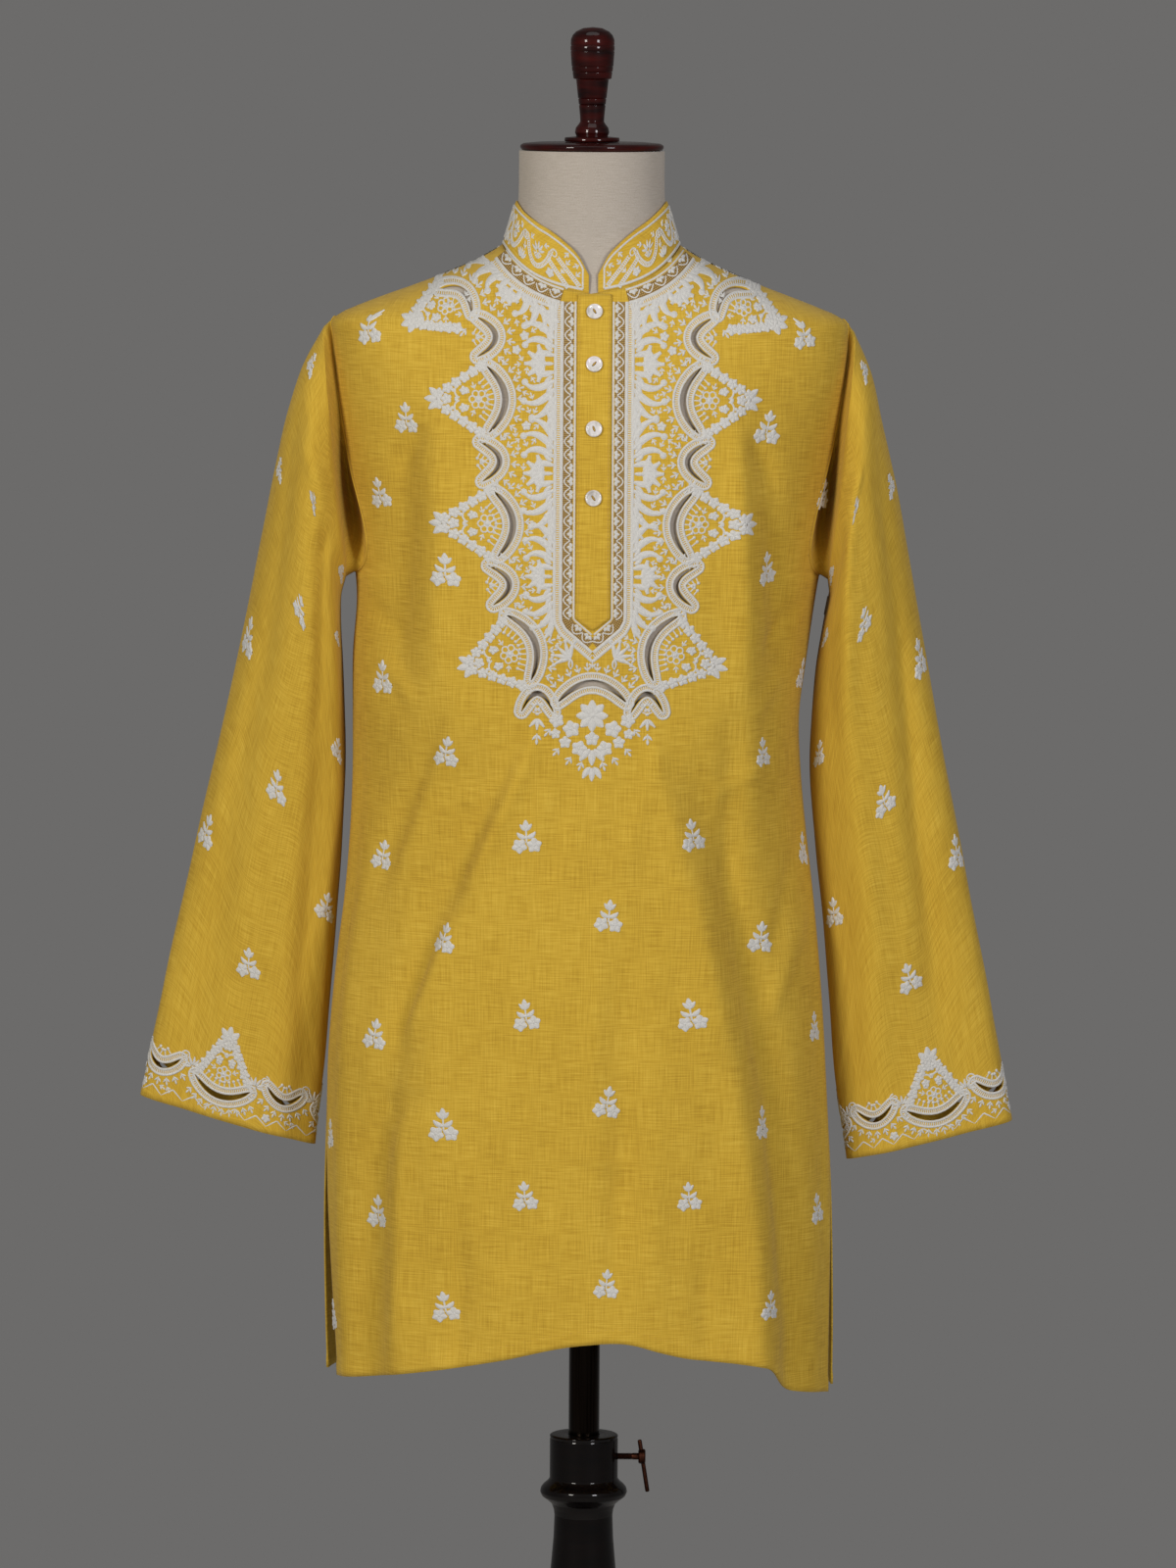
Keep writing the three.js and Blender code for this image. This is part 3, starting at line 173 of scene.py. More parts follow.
# Broad planes beside a ridge: x and z of its upper and lower end, the width over which the cloth falls away
# outside it, how far it falls, and whether the plane fades out below the ridge
PLANES = (
    (44, 1172, 142, 640, 80, 22, False), (-32, 1172, -142, 880, 70, 16, True),
    (-112, 900, -108, 560, 62, 9, False), (-116, 1452, -120, 1150, 62, 13, True),
    (120, 1452, 120, 1150, 62, 14, True),
)
RIDGE_REACH = 1.15  # a ridge's line runs on below its lower end, by this share of its length
RIDGE_SOFTNESS = 5  # the cloth bends down beside it over about this many mm
BACK_CREASES = (
    (-60, 1430, -120, 1330, 9, 2.2), (60, 1430, 120, 1330, 9, 2.2), (-40, 1120, -110, 1090, 7, -2.0),
    (30, 1105, 100, 1075, 7, -2.2), (-20, 1090, -90, 1050, 7, 1.6), (60, 1060, 130, 1030, 7, 1.8),
    (-150, 1230, -110, 1120, 9, -2.4), (150, 1230, 110, 1130, 9, -2.4), (-20, 960, -34, 700, 12, 2.2),
    (36, 980, 52, 690, 12, -2.4), (110, 900, 126, 640, 10, 2.0), (-120, 860, -132, 640, 10, -2.0),
    (0, 1380, 4, 1180, 14, -1.8), (84, 780, 92, 620, 9, -1.6), (-70, 760, -78, 610, 9, 1.6),
)
print("creases in front and behind:", len(CREASES), len(BACK_CREASES))

# %% [markdown]
# Each table row becomes a rise of the cloth that fades out at its ends and to its sides. Soft folds are
# kept by angle and height, and the small creases and broad planes as straight lines on the garment as it is
# seen from the front. All of them are summed at any place that a mesh asks for, so there is no picture of
# the folds.

# %% The surface of the body
def fold_push(degrees, share, start, end, width, rise):
    """Rise of a soft fold that wanders from one angle to another; share is how far down it a place lies."""
    middle = start + (end - start) * np.sin(np.clip(share, 0, 1) * math.pi / 2)
    away = np.abs(degrees - middle) % 360
    away = np.minimum(away, 360 - away)
    return np.where(share > 0, rise * smooth(share * 3) * np.exp(-((away / width) ** 2)), 0)


def line_push(a, b, lines):
    """Rise of creases drawn as straight lines on a flat map with the measures a and b."""
    total = np.zeros(np.broadcast(a, b).shape)
    for a1, b1, a2, b2, width, rise in lines:
        da, db = a2 - a1, b2 - b1
        share = ((a - a1) * da + (b - b1) * db) / (da * da + db * db)
        inside = np.clip(share, 0, 1)
        away = np.hypot(a - a1 - inside * da, b - b1 - inside * db)
        fade = smooth(inside / 0.35) * smooth((1 - inside) / 0.3)
        total += rise * fade * np.exp(-((away / width) ** 2))
    return total


def plane_push(x, z):
    """How far the cloth falls away in depth on the outer side of each ridge."""
    total = np.zeros(np.broadcast(x, z).shape)
    for x1, z1, x2, z2, width, depth, fades in PLANES:
        share = (z - z1) / (z2 - z1)
        off = (x - (x1 + (x2 - x1) * np.minimum(share, RIDGE_REACH))) * np.sign(x2)
        fall = np.log1p(np.exp(np.clip(off / RIDGE_SOFTNESS, -30, 30))) * RIDGE_SOFTNESS
        fade = smooth(share / 0.3) * (smooth((RIDGE_REACH - share) / 0.4) if fades else 1)
        total -= depth * fade * np.tanh(fall / width * 1.3)
    return total


def body_folds(angle, z):
    push = 0
    for top, bottom, start, end, width, rise in BODY_FOLDS:
        share = (top - z) / (top - bottom)
        fade = 1 - smooth((share - 0.6) * 2.5) if bottom > 700 else 1
        push = push + fade * fold_push(np.degrees(angle), share, start, end, width, rise)
    return push


ARMHOLE = (  # turn from the shoulder tip, degrees by which the edge lies off the side in front and behind
    (0, 0, 0), (30, 4, 5), (60, 10, 11), (90, 17, 16),
    (120, 23, 19), (145, 23, 18), (165, 15, 11), (180, 0, 0),
)
ARMHOLE_DIP = 8
ARMHOLE_DIP_DEG = 13
armhole = table(ARMHOLE, ("front", "back"))


def armhole_dip(degrees, z):
    """How far the front is drawn back along the armhole seam, where the arm would press it."""
    share = (2 * z - SHOULDER_TIP_Z - UNDERARM_Z) / (SHOULDER_TIP_Z - UNDERARM_Z)
    turn = np.degrees(np.arccos(np.clip(share, -1, 1)))
    off = np.abs((degrees + 180) % 360 - 180) - (90 - armhole["front"](turn))
    fade = smooth((1420 - z) / 90) * smooth((z - 1215) / 70)
    return ARMHOLE_DIP * np.exp(-((off / ARMHOLE_DIP_DEG) ** 2)) * fade


def waves(a, b):
    """A very low, uneven wave over a flat map with the measures a and b."""
    slow = np.sin(a / 31 + b / 47 + 0.6) + 0.8 * np.sin(a / 19 - b / 83 + 2.1)
    quick = 0.45 * np.sin(a / 11 + b / 23 + 4.0) + 0.35 * np.sin(-a / 9 + b / 17 + 1.2)
    return 0.42 * (slow + quick)


FOLD_GAIN = 1.15
SLIT_FLARE = {"left": 8, "right": 2}
SLIT_FLARE_DEG = 12


def body_point(angle, z, folded=True):
    """The kurta's outer face at an angle round the body, 0 in front and plus to the right, and a height."""
    angle, z = np.broadcast_arrays(np.asarray(angle, float), np.asarray(z, float))
    s, c = np.sin(angle), np.cos(angle)
    power = 2 / SQUARENESS
    side = np.where(s < 0, body["left"](z), body["right"](z))
    depth = np.where(c > 0, body["front"](z), body["back"](z))
    push = 0
    dip = 0
    if folded:
        dip = armhole_dip(np.degrees(angle), z)
        x = side * signed_power(s, power)
        fine = np.where(c > 0, line_push(x, z, CREASES), line_push(x, z, BACK_CREASES))
        calm = smooth((1500 - z) / 60) * smooth(np.abs(c) * 3)
        fine = (FOLD_GAIN * fine + waves(x + 300 * (c < 0), z)) * calm
        dip = dip - np.where(c > 0, plane_push(x, z), 0) * calm
        slit = smooth((SLIT_TOP_Z - z) / (SLIT_TOP_Z - 600))
        past = np.degrees(np.arccos(np.clip(np.abs(s), 0, 1))) * np.where(c < 0, 1, 9)
        flare_out = np.where(s < 0, SLIT_FLARE["left"], SLIT_FLARE["right"])
        flare = flare_out * slit * np.exp(-((past / SLIT_FLARE_DEG) ** 2))
        push = body_folds(angle, z) * np.minimum(1, np.abs(c) * 2.5) + flare + fine
    return np.stack(
        [side * signed_power(s, power) + push * s, -depth * signed_power(c, power) - push * c + dip, z], -1
    )


def normals(surface, a, b, da, db):
    """Outward directions of a surface of two measures, from points a small step apart."""
    across = surface(a + da, b) - surface(a - da, b)
    along = surface(a, b + db) - surface(a, b - db)
    n = np.cross(across, along)
    return n / np.linalg.norm(n, axis=-1, keepdims=True)


ANGLE_STEP = math.radians(0.6)


def unfolded(angle, z):
    """The kurta's outer face without its folds."""
    return body_point(angle, z, False)


def over_body(angle, z, out=0.0):
    """A place at a distance over the kurta's outer face."""
    n = normals(body_point, angle, z, ANGLE_STEP, 2)
    return body_point(angle, z) + n * np.asarray(out)[..., None]


def front_angle(x, z):
    """Angle round the body of a place that is seen at x from straight in front."""
    side = np.where(x < 0, body["left"](z), body["right"](z))
    return np.sign(x) * np.arcsin(np.minimum(np.abs(x) / side, 1) ** (SQUARENESS / 2))


def over_front(x, z, out=0.0):
    """A place over the front, given as it is seen from straight in front."""
    return over_body(front_angle(x, z), z, out)


print("front at the button line:", over_front(np.array([3.0]), np.array([1394.0]))[0].round(1))

# %% [markdown]
# Each cloth panel is a closed wall, as real cloth has two faces and an edge. A grid of points gives the
# outer face, the same grid pushed in by the cloth's thickness gives the inner one, and strips close the
# edges. The UV map is the way along the cloth in metres, so that a weave drawn by the material keeps its
# true size and runs with the thread, whatever the fold does.

# %% Mesh helpers
def make_object(name, points, faces, uv=None, materials=()):
    """A mesh object from points in millimetres, with smooth faces."""
    mesh = bpy.data.meshes.new(name)
    mesh.from_pydata((np.asarray(points) * MM).tolist(), [], [list(f) for f in faces])
    if uv is not None:
        corner = np.empty(len(mesh.loops), np.int32)
        mesh.loops.foreach_get("vertex_index", corner)
        layer = mesh.uv_layers.new(name="UVMap")
        layer.data.foreach_set("uv", np.asarray(uv, np.float32)[corner].ravel())
    mesh.polygons.foreach_set("use_smooth", np.ones(len(mesh.polygons), bool))
    for material in materials:
        mesh.materials.append(material)
    mesh.update()
    thing = bpy.data.objects.new(name, mesh)
    bpy.context.scene.collection.objects.link(thing)
    return thing


def grid_faces(rows, cols, start=0, loop=False):
    """Four-sided faces between the points of a grid; loop joins its last column to its first."""
    ids = start + np.arange(rows * cols).reshape(rows, cols)
    if loop:
        ids = np.concatenate([ids, ids[:, :1]], 1)
    return np.stack([ids[:-1, :-1], ids[1:, :-1], ids[1:, 1:], ids[:-1, 1:]], -1).reshape(-1, 4)


def strip_faces(a, b):
    """Faces between two rows of point numbers."""
    return np.stack([a[:-1], b[:-1], b[1:], a[1:]], -1)


def volume(points, faces):
    """Volume of a closed mesh; below zero where its faces look inwards."""
    p = np.asarray(points)
    f = np.asarray(faces)
    first = np.einsum("ij,ij->i", p[f[:, 0]], np.cross(p[f[:, 1]], p[f[:, 2]]))
    second = np.einsum("ij,ij->i", p[f[:, 0]], np.cross(p[f[:, 2]], p[f[:, 3]]))
    return (first.sum() + second.sum()) / 6


def path_lengths(grid, axis):
    """Distance walked along one axis of a grid of points."""
    steps = np.linalg.norm(np.diff(grid, axis=axis), axis=-1)
    zero = np.zeros_like(np.take(steps, [0], axis=axis))
    return np.concatenate([zero, np.cumsum(steps, axis=axis)], axis=axis)


def shell(name, outer, inner, materials, loop=False, weave_map=None):
    """A closed cloth wall from two grids of points, rows along the cloth and columns across it."""
    rows, cols = outer.shape[:2]
    count = rows * cols
    ids = np.arange(2 * count).reshape(2, rows, cols)
    if loop:
        ids = np.concatenate([ids, ids[:, :, :1]], 2)
    faces = [grid_faces(rows, cols, 0, loop), grid_faces(rows, cols, count, loop)[:, ::-1]]
    faces.append(strip_faces(ids[0, 0], ids[1, 0])[:, ::-1])
    faces.append(strip_faces(ids[0, -1], ids[1, -1]))
    if not loop:
        faces.append(strip_faces(ids[0, :, 0], ids[1, :, 0]))
        faces.append(strip_faces(ids[0, :, -1], ids[1, :, -1])[:, ::-1])
    faces = np.concatenate(faces)
    points = np.concatenate([outer.reshape(-1, 3), inner.reshape(-1, 3)])
    if volume(points, faces) < 0:
        faces = faces[:, ::-1]
    u = path_lengths(outer, 1)
    u = u - u[:, cols // 2 : cols // 2 + 1]
    v = -path_lengths(outer, 0)
    if weave_map is not None:
        u, v = weave_map
    uv = np.stack([u, v], -1).reshape(-1, 2) * MM
    return make_object(name, points, faces, np.concatenate([uv, uv]), materials)


# %% [markdown]
# Materials are nodes. One small helper adds a node, sets or links its inputs and hands back one of its
# outputs. One function turns the sRGB hex colours that a colour picker gives into the linear numbers that
# the renderer works in. Another builds a tone out of layers of noise whose grains have a real size in
# millimetres.

# %% Node and colour helpers
def linear(hex_colour):
    parts = [int(hex_colour[i : i + 2], 16) / 255 for i in (1, 3, 5)]
    return tuple(c / 12.92 if c <= 0.04045 else ((c + 0.055) / 1.055) ** 2.4 for c in parts) + (1.0,)


def add(tree, kind, output, inputs=None, stops=(), **settings):
    """Add a node and return one output. Inputs, by name or number, are values or outputs to link."""
    node = tree.nodes.new(kind)
    for name, value in settings.items():
        setattr(node, name, value)
    for name, value in (inputs or {}).items():
        if isinstance(value, bpy.types.NodeSocket):
            tree.links.new(value, node.inputs[name])
        else:
            node.inputs[name].default_value = value
    for _ in stops[2:]:
        node.color_ramp.elements.new(0.5)
    for k, (place, colour) in enumerate(stops):
        node.color_ramp.elements[k].position = place
        node.color_ramp.elements[k].color = linear(colour)
    return node.outputs[output]


def new_material(name, **values):
    """A material with the given socket values; returns it, its node tree and its Principled shader."""
    material = bpy.data.materials.new(name)
    material.use_nodes = True
    tree = material.node_tree
    shader = tree.nodes["Principled BSDF"]
    for socket, value in values.items():
        shader.inputs[socket.replace("_", " ")].default_value = value
    return material, tree, shader


def uneven(tree, place, layers, roughness=0.5):
    """Noise in layers, each with its grains' size in mm on three axes, its detail and its share of the tone."""
    tone = 0.0
    for sizes, detail, share in layers:
        scale = [1 / (size * MM) for size in sizes]
        packed = add(tree, "ShaderNodeMapping", "Vector", {"Vector": place, "Scale": scale})
        noise = {"Vector": packed, "Scale": 1.0, "Detail": detail, "Roughness": roughness}
        grains = add(tree, "ShaderNodeTexNoise", "Fac", noise)
        tone = add(tree, "ShaderNodeMath", "Value", {0: grains, 1: share, 2: tone}, operation="MULTIPLY_ADD")
    return tone


def dress(tree, shader, tone, colours, relief=None, strength=0.3, height=0.4):
    """Colour a shader by a tone, and give it bumps this many millimetres high."""
    colour = add(tree, "ShaderNodeValToRGB", "Color", {"Fac": tone}, colours)
    tree.links.new(colour, shader.inputs["Base Color"])
    if relief is not None:
        bump = {"Height": relief, "Strength": strength, "Distance": height * MM}
        tree.links.new(add(tree, "ShaderNodeBump", "Normal", bump), shader.inputs["Normal"])


WAVE_SCALE = 2 * math.pi / 20  # a wave texture turns 20 radians for each unit of its scale


def weave(tree, uv, pitch):
    """Relief of a plain weave: two crossed waves of threads, with their pitch in millimetres."""
    wave = {"Vector": uv, "Scale": WAVE_SCALE / (pitch * MM), "Distortion": 0.6, "Detail": 1.0}
    crossed = {}
    for number, axis in enumerate(("X", "Y")):
        crossed[number] = add(tree, "ShaderNodeTexWave", "Fac", wave, wave_type="BANDS", bands_direction=axis)
    return add(tree, "ShaderNodeMath", "Value", crossed, operation="MULTIPLY")


print("mid grey as linear numbers:", linear("#808080"))

# %% [markdown]
# Linen is spun from uneven fibre, so single threads swell into slubs that show as short streaks along and
# across the cloth. Two noises do this: one drawn out along the warp and packed close across it, the other
# along the weft. The threads are about 0.55 mm apart, and two waves of that pitch give the plain weave its
# relief. Linen's sheen is faint, and its roughness is high.

# %% Linen
THREAD_PITCH = 0.55
SLUB_LENGTH = 22
SLUB_WIDTH = 0.9
CLOUD = 111.1

# Dyed yellow linen, plain woven: matt, with short lighter and darker streaks both ways
linen, tree, shader = new_material(
    "yellow_linen", Roughness=0.85, Sheen_Weight=0.08, Sheen_Roughness=0.5, IOR=1.53, Specular_IOR_Level=0.2
)
uv = add(tree, "ShaderNodeUVMap", "UV", uv_map="UVMap")
slubs = (
    ((SLUB_LENGTH, SLUB_WIDTH, 1), 1.5, 0.46), ((SLUB_WIDTH, 1.3 * SLUB_LENGTH, 1), 1.5, 0.34),
    ((CLOUD, CLOUD, 1), 3.0, 0.2),
)
tone = uneven(tree, uv, slubs)
dress(tree, shader, tone, ((0.36, "#b38e28"), (0.5, "#c7a233"), (0.64, "#d6b342")))
threads = {0: weave(tree, uv, THREAD_PITCH), 1: 0.35, 2: tone}
threads = add(tree, "ShaderNodeMath", "Value", threads, operation="MULTIPLY_ADD")
fine = add(tree, "ShaderNodeBump", "Normal", {"Height": threads, "Strength": 0.3, "Distance": 0.0004})
crumpled = uneven(tree, uv, [((23.8, 33.3, 1), 3.0, 1)], 0.6)
creased = {"Height": crumpled, "Strength": 0.3, "Distance": 0.004, "Normal": fine}
tree.links.new(add(tree, "ShaderNodeBump", "Normal", creased), shader.inputs["Normal"])
print("linen threads in 10 mm:", round(10 / THREAD_PITCH))

# %% [markdown]
# Embroidery cotton is hardly twisted, so a laid stroke has a soft sheen and shows its single stitches as
# fine bands across it. Its UV map runs along and across each stroke, and a wave at the stitches' pitch
# gives the bands, both as bumps and as painted shade that greys the furrows between them. The ground of
# the narrow border and the sewing thread are plainer relatives of the two.

# %% Embroidery and sewing threads
STITCH_PITCH = 0.6
# Drawn coarser than it is, at about three times the thread pitch, since a finer net doesn't show
NET_PITCH = 1.6

# White embroidery cotton, laid as satin and stem stitch: soft white with random greyer patches, and painted
# shade that greys the furrows between stitches
white_thread, tree, shader = new_material(
    "white_cotton_thread", Roughness=0.62, Sheen_Weight=0.25, Sheen_Roughness=0.35, IOR=1.53,
    Specular_IOR_Level=0.35,
)
uv = add(tree, "ShaderNodeUVMap", "UV", uv_map="UVMap")
wave = {"Vector": uv, "Scale": WAVE_SCALE / (STITCH_PITCH * MM), "Distortion": 1.2, "Detail": 1.5}
stitch = add(tree, "ShaderNodeTexWave", "Fac", wave, wave_type="BANDS", bands_direction="X")
patches = uneven(tree, uv, [((2.38, 0.714, 1), 2.0, 0.55)])
# Painted shade: the stitch wave greys the colour in the furrows between stitches, where the bump also sinks
# them
tone = add(tree, "ShaderNodeMath", "Value", {0: stitch, 1: 0.45, 2: patches}, operation="MULTIPLY_ADD")
dress(tree, shader, tone, ((0.2, "#a9a79f"), (0.5, "#d0cfca"), (0.8, "#e4e3df")), tone, 0.55)

# Linen with threads drawn out and the rest bound into a net: yellow bars, with painted shade in brown between
# them for the dark seen through the net's openings
net_ground, tree, shader = new_material("drawn_thread_ground", Roughness=0.85, IOR=1.53, Specular_IOR_Level=0.2)
uv = add(tree, "ShaderNodeUVMap", "UV", uv_map="UVMap")
# Painted shade: the weave's low places are coloured brown, for the openings of the net
dress(tree, shader, weave(tree, uv, NET_PITCH), ((0.25, "#7d6238"), (0.75, "#c3a763")))

# Spun sewing thread of the topstitching: matt, a little darker than the linen
yellow_thread, _, _ = new_material("yellow_sewing_thread", Base_Color=linear("#b88f2f"), Roughness=0.6)
print("embroidery stitches in 10 mm:", round(10 / STITCH_PITCH))

# %% [markdown]
# The rest is plain: a stretched cotton cover on the form, lacquered hardwood for the cap, finial, post and
# base, a dark polished steel tube, a clamp of rusted steel and shirt buttons cut from shell. Lacquer is a
# coat over the wood's own colour, so the wood itself hardly shines and the clear coat does.

# %% Materials of the form, stand and buttons
COVER_PITCH = 0.8

# Stretched cotton cover, undyed and closely knitted: matt, with faint streaks up and down
cover, tree, shader = new_material(
    "cotton_form_cover", Roughness=0.9, Sheen_Weight=0.2, Sheen_Roughness=0.5, IOR=1.5, Specular_IOR_Level=0.2
)
uv = add(tree, "ShaderNodeUVMap", "UV", uv_map="UVMap")
tone = uneven(tree, uv, (((11.11, 0.769, 1), 2.0, 0.5), ((1.111, 1.111, 1), 2.0, 0.5)))
knit = {0: weave(tree, uv, COVER_PITCH), 1: 0.5, 2: tone}
knit = add(tree, "ShaderNodeMath", "Value", knit, operation="MULTIPLY_ADD")
dress(tree, shader, tone, ((0.3, "#a39a8d"), (0.5, "#b0a79b"), (0.7, "#bbb3a8")), knit, 0.25)


def lacquer(name, base, vein):
    """Gloss lacquer over turned hardwood: faint rings run round the piece under a clear, even coat."""
    material, tree, shader = new_material(
        name, Roughness=0.5, IOR=1.5, Specular_IOR_Level=0.05, Coat_Weight=0.45, Coat_Roughness=0.03,
        Coat_IOR=1.5,
    )
    place = add(tree, "ShaderNodeTexCoord", "Object")
    rings = uneven(tree, place, [((33.33, 33.33, 6.25), 3.0, 1)])
    dress(tree, shader, rings, ((0.35, base), (0.7, vein)))
    return material


# Sharp reflections over a red so deep that it is nearly black, and over black
red_lacquer = lacquer("dark_red_lacquered_wood", "#170202", "#3a0704")
black_lacquer = lacquer("black_lacquered_wood", "#030101", "#080302")


def metal(name, dark, light, roughness, grains):
    """Steel with spots of a darker and a lighter tone, which also roughen it."""
    material, tree, shader = new_material(name, Metallic=1.0, Roughness=roughness)
    place = add(tree, "ShaderNodeTexCoord", "Object")
    spots = uneven(tree, place, [(grains, 4.0, 1)], 0.6)
    dress(tree, shader, spots, ((0.35, dark), (0.65, light)), spots, 0.15, 0.6)
    return material


# Oiled steel tube, drawn lengthwise: a dark mirror with long streaks
dark_steel = metal("oiled_steel_tube", "#17110d", "#2c241e", 0.16, (1.111, 1.111, 83.33))
# Steel of the clamp screw, lightly rusted: dull and brown
rusted_steel = metal("rusted_steel", "#2b1812", "#4a2a1e", 0.45, (3.846, 3.846, 3.846))

# Mother-of-pearl, sawn and polished: pale, softly clouded and glossy
shell_button, tree, shader = new_material(
    "mother_of_pearl", Roughness=0.25, IOR=1.56, Coat_Weight=0.6, Coat_Roughness=0.12, Subsurface_Weight=0.1,
    Subsurface_Radius=(0.002, 0.002, 0.002),
)
place = add(tree, "ShaderNodeTexCoord", "Object")
nacre = uneven(tree, place, [((6.25, 6.25, 16.67), 3.0, 1)])
dress(tree, shader, nacre, ((0.3, "#b9b4ad"), (0.5, "#dcd9d4"), (0.7, "#e6dfe2")))
# The shade down in a button's sink
painted_hole_shade, _, _ = new_material("button_hole_shade", Base_Color=linear("#3a2a14"), Roughness=0.9)
print("materials:", len(bpy.data.materials))

# %% [markdown]
# The front and back are fans of rows: the first few run from the neckline to the shoulder seam, the next
# from one armhole to the other, and the rest down to the hem, where the side slits let the edges draw
# apart.

# %% The two body panels
NECKLINE = (  # x, z of the seam, rise of the collar
    (0, FRONT_NECK_Z, 15), (3, 1504, 20), (8, 1504.8, 28), (14, 1506, 33.5), (24, 1508.2, 39), (36, 1512, 42),
    (48, 1517.4, 41.5), (58.5, 1524.5, 39.5), (66.5, 1532, 37), (74, NECK_POINT_Z, 36),
)
FRONT_HEM = (
    (-90, 591), (-60, 599), (-32, 613), (-15, 625), (0, 638), (7, 639), (15, 631), (21, 626), (42, 615),
    (50, 600), (58, 589), (90, 578),
)
BACK_HEM = ((90, 580), (130, 596), (165, 608), (200, 606), (235, 600), (270, 592))
SLIT_FRONT_DEG = 11
SLIT_BACK_DEG = 4
HEM_TURNING = 13
neckline = table(NECKLINE, ("z", "rise"))
front_hem = table(FRONT_HEM, ("z",))["z"]
back_hem = table(BACK_HEM, ("z",))["z"]


def neck_z(angle):
    """Height of the neckline at an angle, found by halving the interval."""
    angle = np.asarray(angle, float)
    c = np.cos(angle)
    low = np.full(angle.shape, FRONT_NECK_Z - 20.0)
    high = np.full(angle.shape, float(NECK_POINT_Z))
    for _ in range(26):
        middle = (low + high) / 2
        below = middle < neckline["z"](np.abs(body_point(angle, middle, False)[..., 0]))
        low = np.where(below, middle, low)
        high = np.where(below, high, middle)
    return np.where(c <= 0, BACK_NECK_Z * c**2 + NECK_POINT_Z * (1 - c**2), high)


def armhole_z(turn):
    """Height of the armhole at a turn from the shoulder tip."""
    return (SHOULDER_TIP_Z + UNDERARM_Z) / 2 + (SHOULDER_TIP_Z - UNDERARM_Z) / 2 * np.cos(turn)


def seam_inset(z):
    """The angle by which a panel's edge stops short of the side, for half the seam's gap."""
    return (SEAM_GAP / 2 / body["front"](z)) ** (SQUARENESS / 2)


def panel_grid(front, columns, shoulder_rows, armhole_rows, skirt_rows):
    """Angle round the body and height for every point of a panel."""
    u = np.linspace(-1, 1, columns + 1)
    u = (np.sign(u) * np.abs(u) ** 1.15)[None, :]
    tip = SHOULDER_TIP_Z - (24 if front else 2)

    def around(a):
        return a if front else math.pi - a

    def fan(edge, half, centre):
        a = u * half
        return around(a), centre + (edge - centre) * (np.sin(a) / np.sin(half)) ** 2

    t = np.linspace(0, 1, shoulder_rows, endpoint=False)[:, None]
    half = math.pi / 2 - seam_inset(NECK_POINT_Z + (SHOULDER_TIP_Z - NECK_POINT_Z) * t)
    angle_a, low = fan(SHOULDER_TIP_Z, half, tip)
    z_a = neck_z(angle_a) * (1 - t) + low * t
    t = np.linspace(0, 1, armhole_rows + 1)[:, None]
    edge = armhole_z(math.pi * t)
    inset = np.radians(armhole["front" if front else "back"](180 * t))
    half = math.pi / 2 - np.maximum(inset, seam_inset(edge))
    angle_b, z_b = fan(edge, half, tip + (UNDERARM_Z - tip) * (0.3 * smooth(t) + 0.7 * t))
    d = np.linspace(0, 1, skirt_rows + 1)[1:, None]
    hem = front_hem if front else lambda degrees: back_hem(180 - degrees)
    side_z = UNDERARM_Z + (hem(np.sign(u) * 90) - UNDERARM_Z) * d
    opened = smooth((SLIT_TOP_Z - side_z) / (SLIT_TOP_Z - 600))
    inset = seam_inset(side_z) + opened * math.radians(SLIT_FRONT_DEG if front else SLIT_BACK_DEG)
    angle_c = u * (math.pi / 2 - inset)
    z_c = UNDERARM_Z + (hem(np.degrees(angle_c)) - UNDERARM_Z) * d
    return np.concatenate([angle_a, angle_b, around(angle_c)]), np.concatenate([z_a, z_b, z_c])


MAP_START_DEG = -100
MAP_STEP_DEG = 4.0
MAP_STEP_Z = 9.0
MAP_ANGLES = np.radians(np.arange(MAP_START_DEG, 281, MAP_STEP_DEG))
MAP_HEIGHTS = np.arange(560.0, 1551.0, MAP_STEP_Z)
MAP_FRONT = 25  # the column of the map at the centre front
mapped = unfolded(MAP_ANGLES[None, :], MAP_HEIGHTS[:, None])
MAP_ROUND = path_lengths(mapped, 1)
MAP_UP = path_lengths(mapped, 0)


def body_map(angle, z):
    """Millimetres round the body and up it, so that the weave runs straight across and straight down."""
    i = np.clip((z - MAP_HEIGHTS[0]) / MAP_STEP_Z, 0, len(MAP_HEIGHTS) - 1.001)
    j = np.clip((np.degrees(angle) - MAP_START_DEG) / MAP_STEP_DEG, 0, len(MAP_ANGLES) - 1.001)
    a, b = i.astype(int), j.astype(int)
    p, q = i - a, j - b
    return [
        (m[a, b] * (1 - q) + m[a, b + 1] * q) * (1 - p) + (m[a + 1, b] * (1 - q) + m[a + 1, b + 1] * q) * p
        for m in (MAP_ROUND - MAP_ROUND[:, MAP_FRONT : MAP_FRONT + 1], MAP_UP)
    ]


def panel_shell(name, front, columns, rows):
    angle, z = panel_grid(front, columns, *rows)
    outer = over_body(angle, z)
    n = normals(body_point, angle, z, ANGLE_STEP, 2)
    from_hem = path_lengths(outer[::-1], 0)[::-1]
    hem_step = 0.6 * smooth((HEM_TURNING - from_hem) / 2.5)
    inner = outer - n * CLOTH
    return shell(name, outer + n * hem_step[..., None], inner, [linen], weave_map=body_map(angle, z))


front = panel_shell("kurta_front", True, 160, (16, 72, 150))
back = panel_shell("kurta_back", False, 100, (12, 48, 104))
print("front points:", len(front.data.vertices), "back points:", len(back.data.vertices))

# %% [markdown]
# Cutwork is open: inside each outline the cloth is snipped away after the edge has been stitched. The
# openings are crescents. A closed cutter that follows the cloth is built for each one, and a Boolean
# modifier takes all of them out at once. The Manifold solver is quick and exact on closed walls like these.

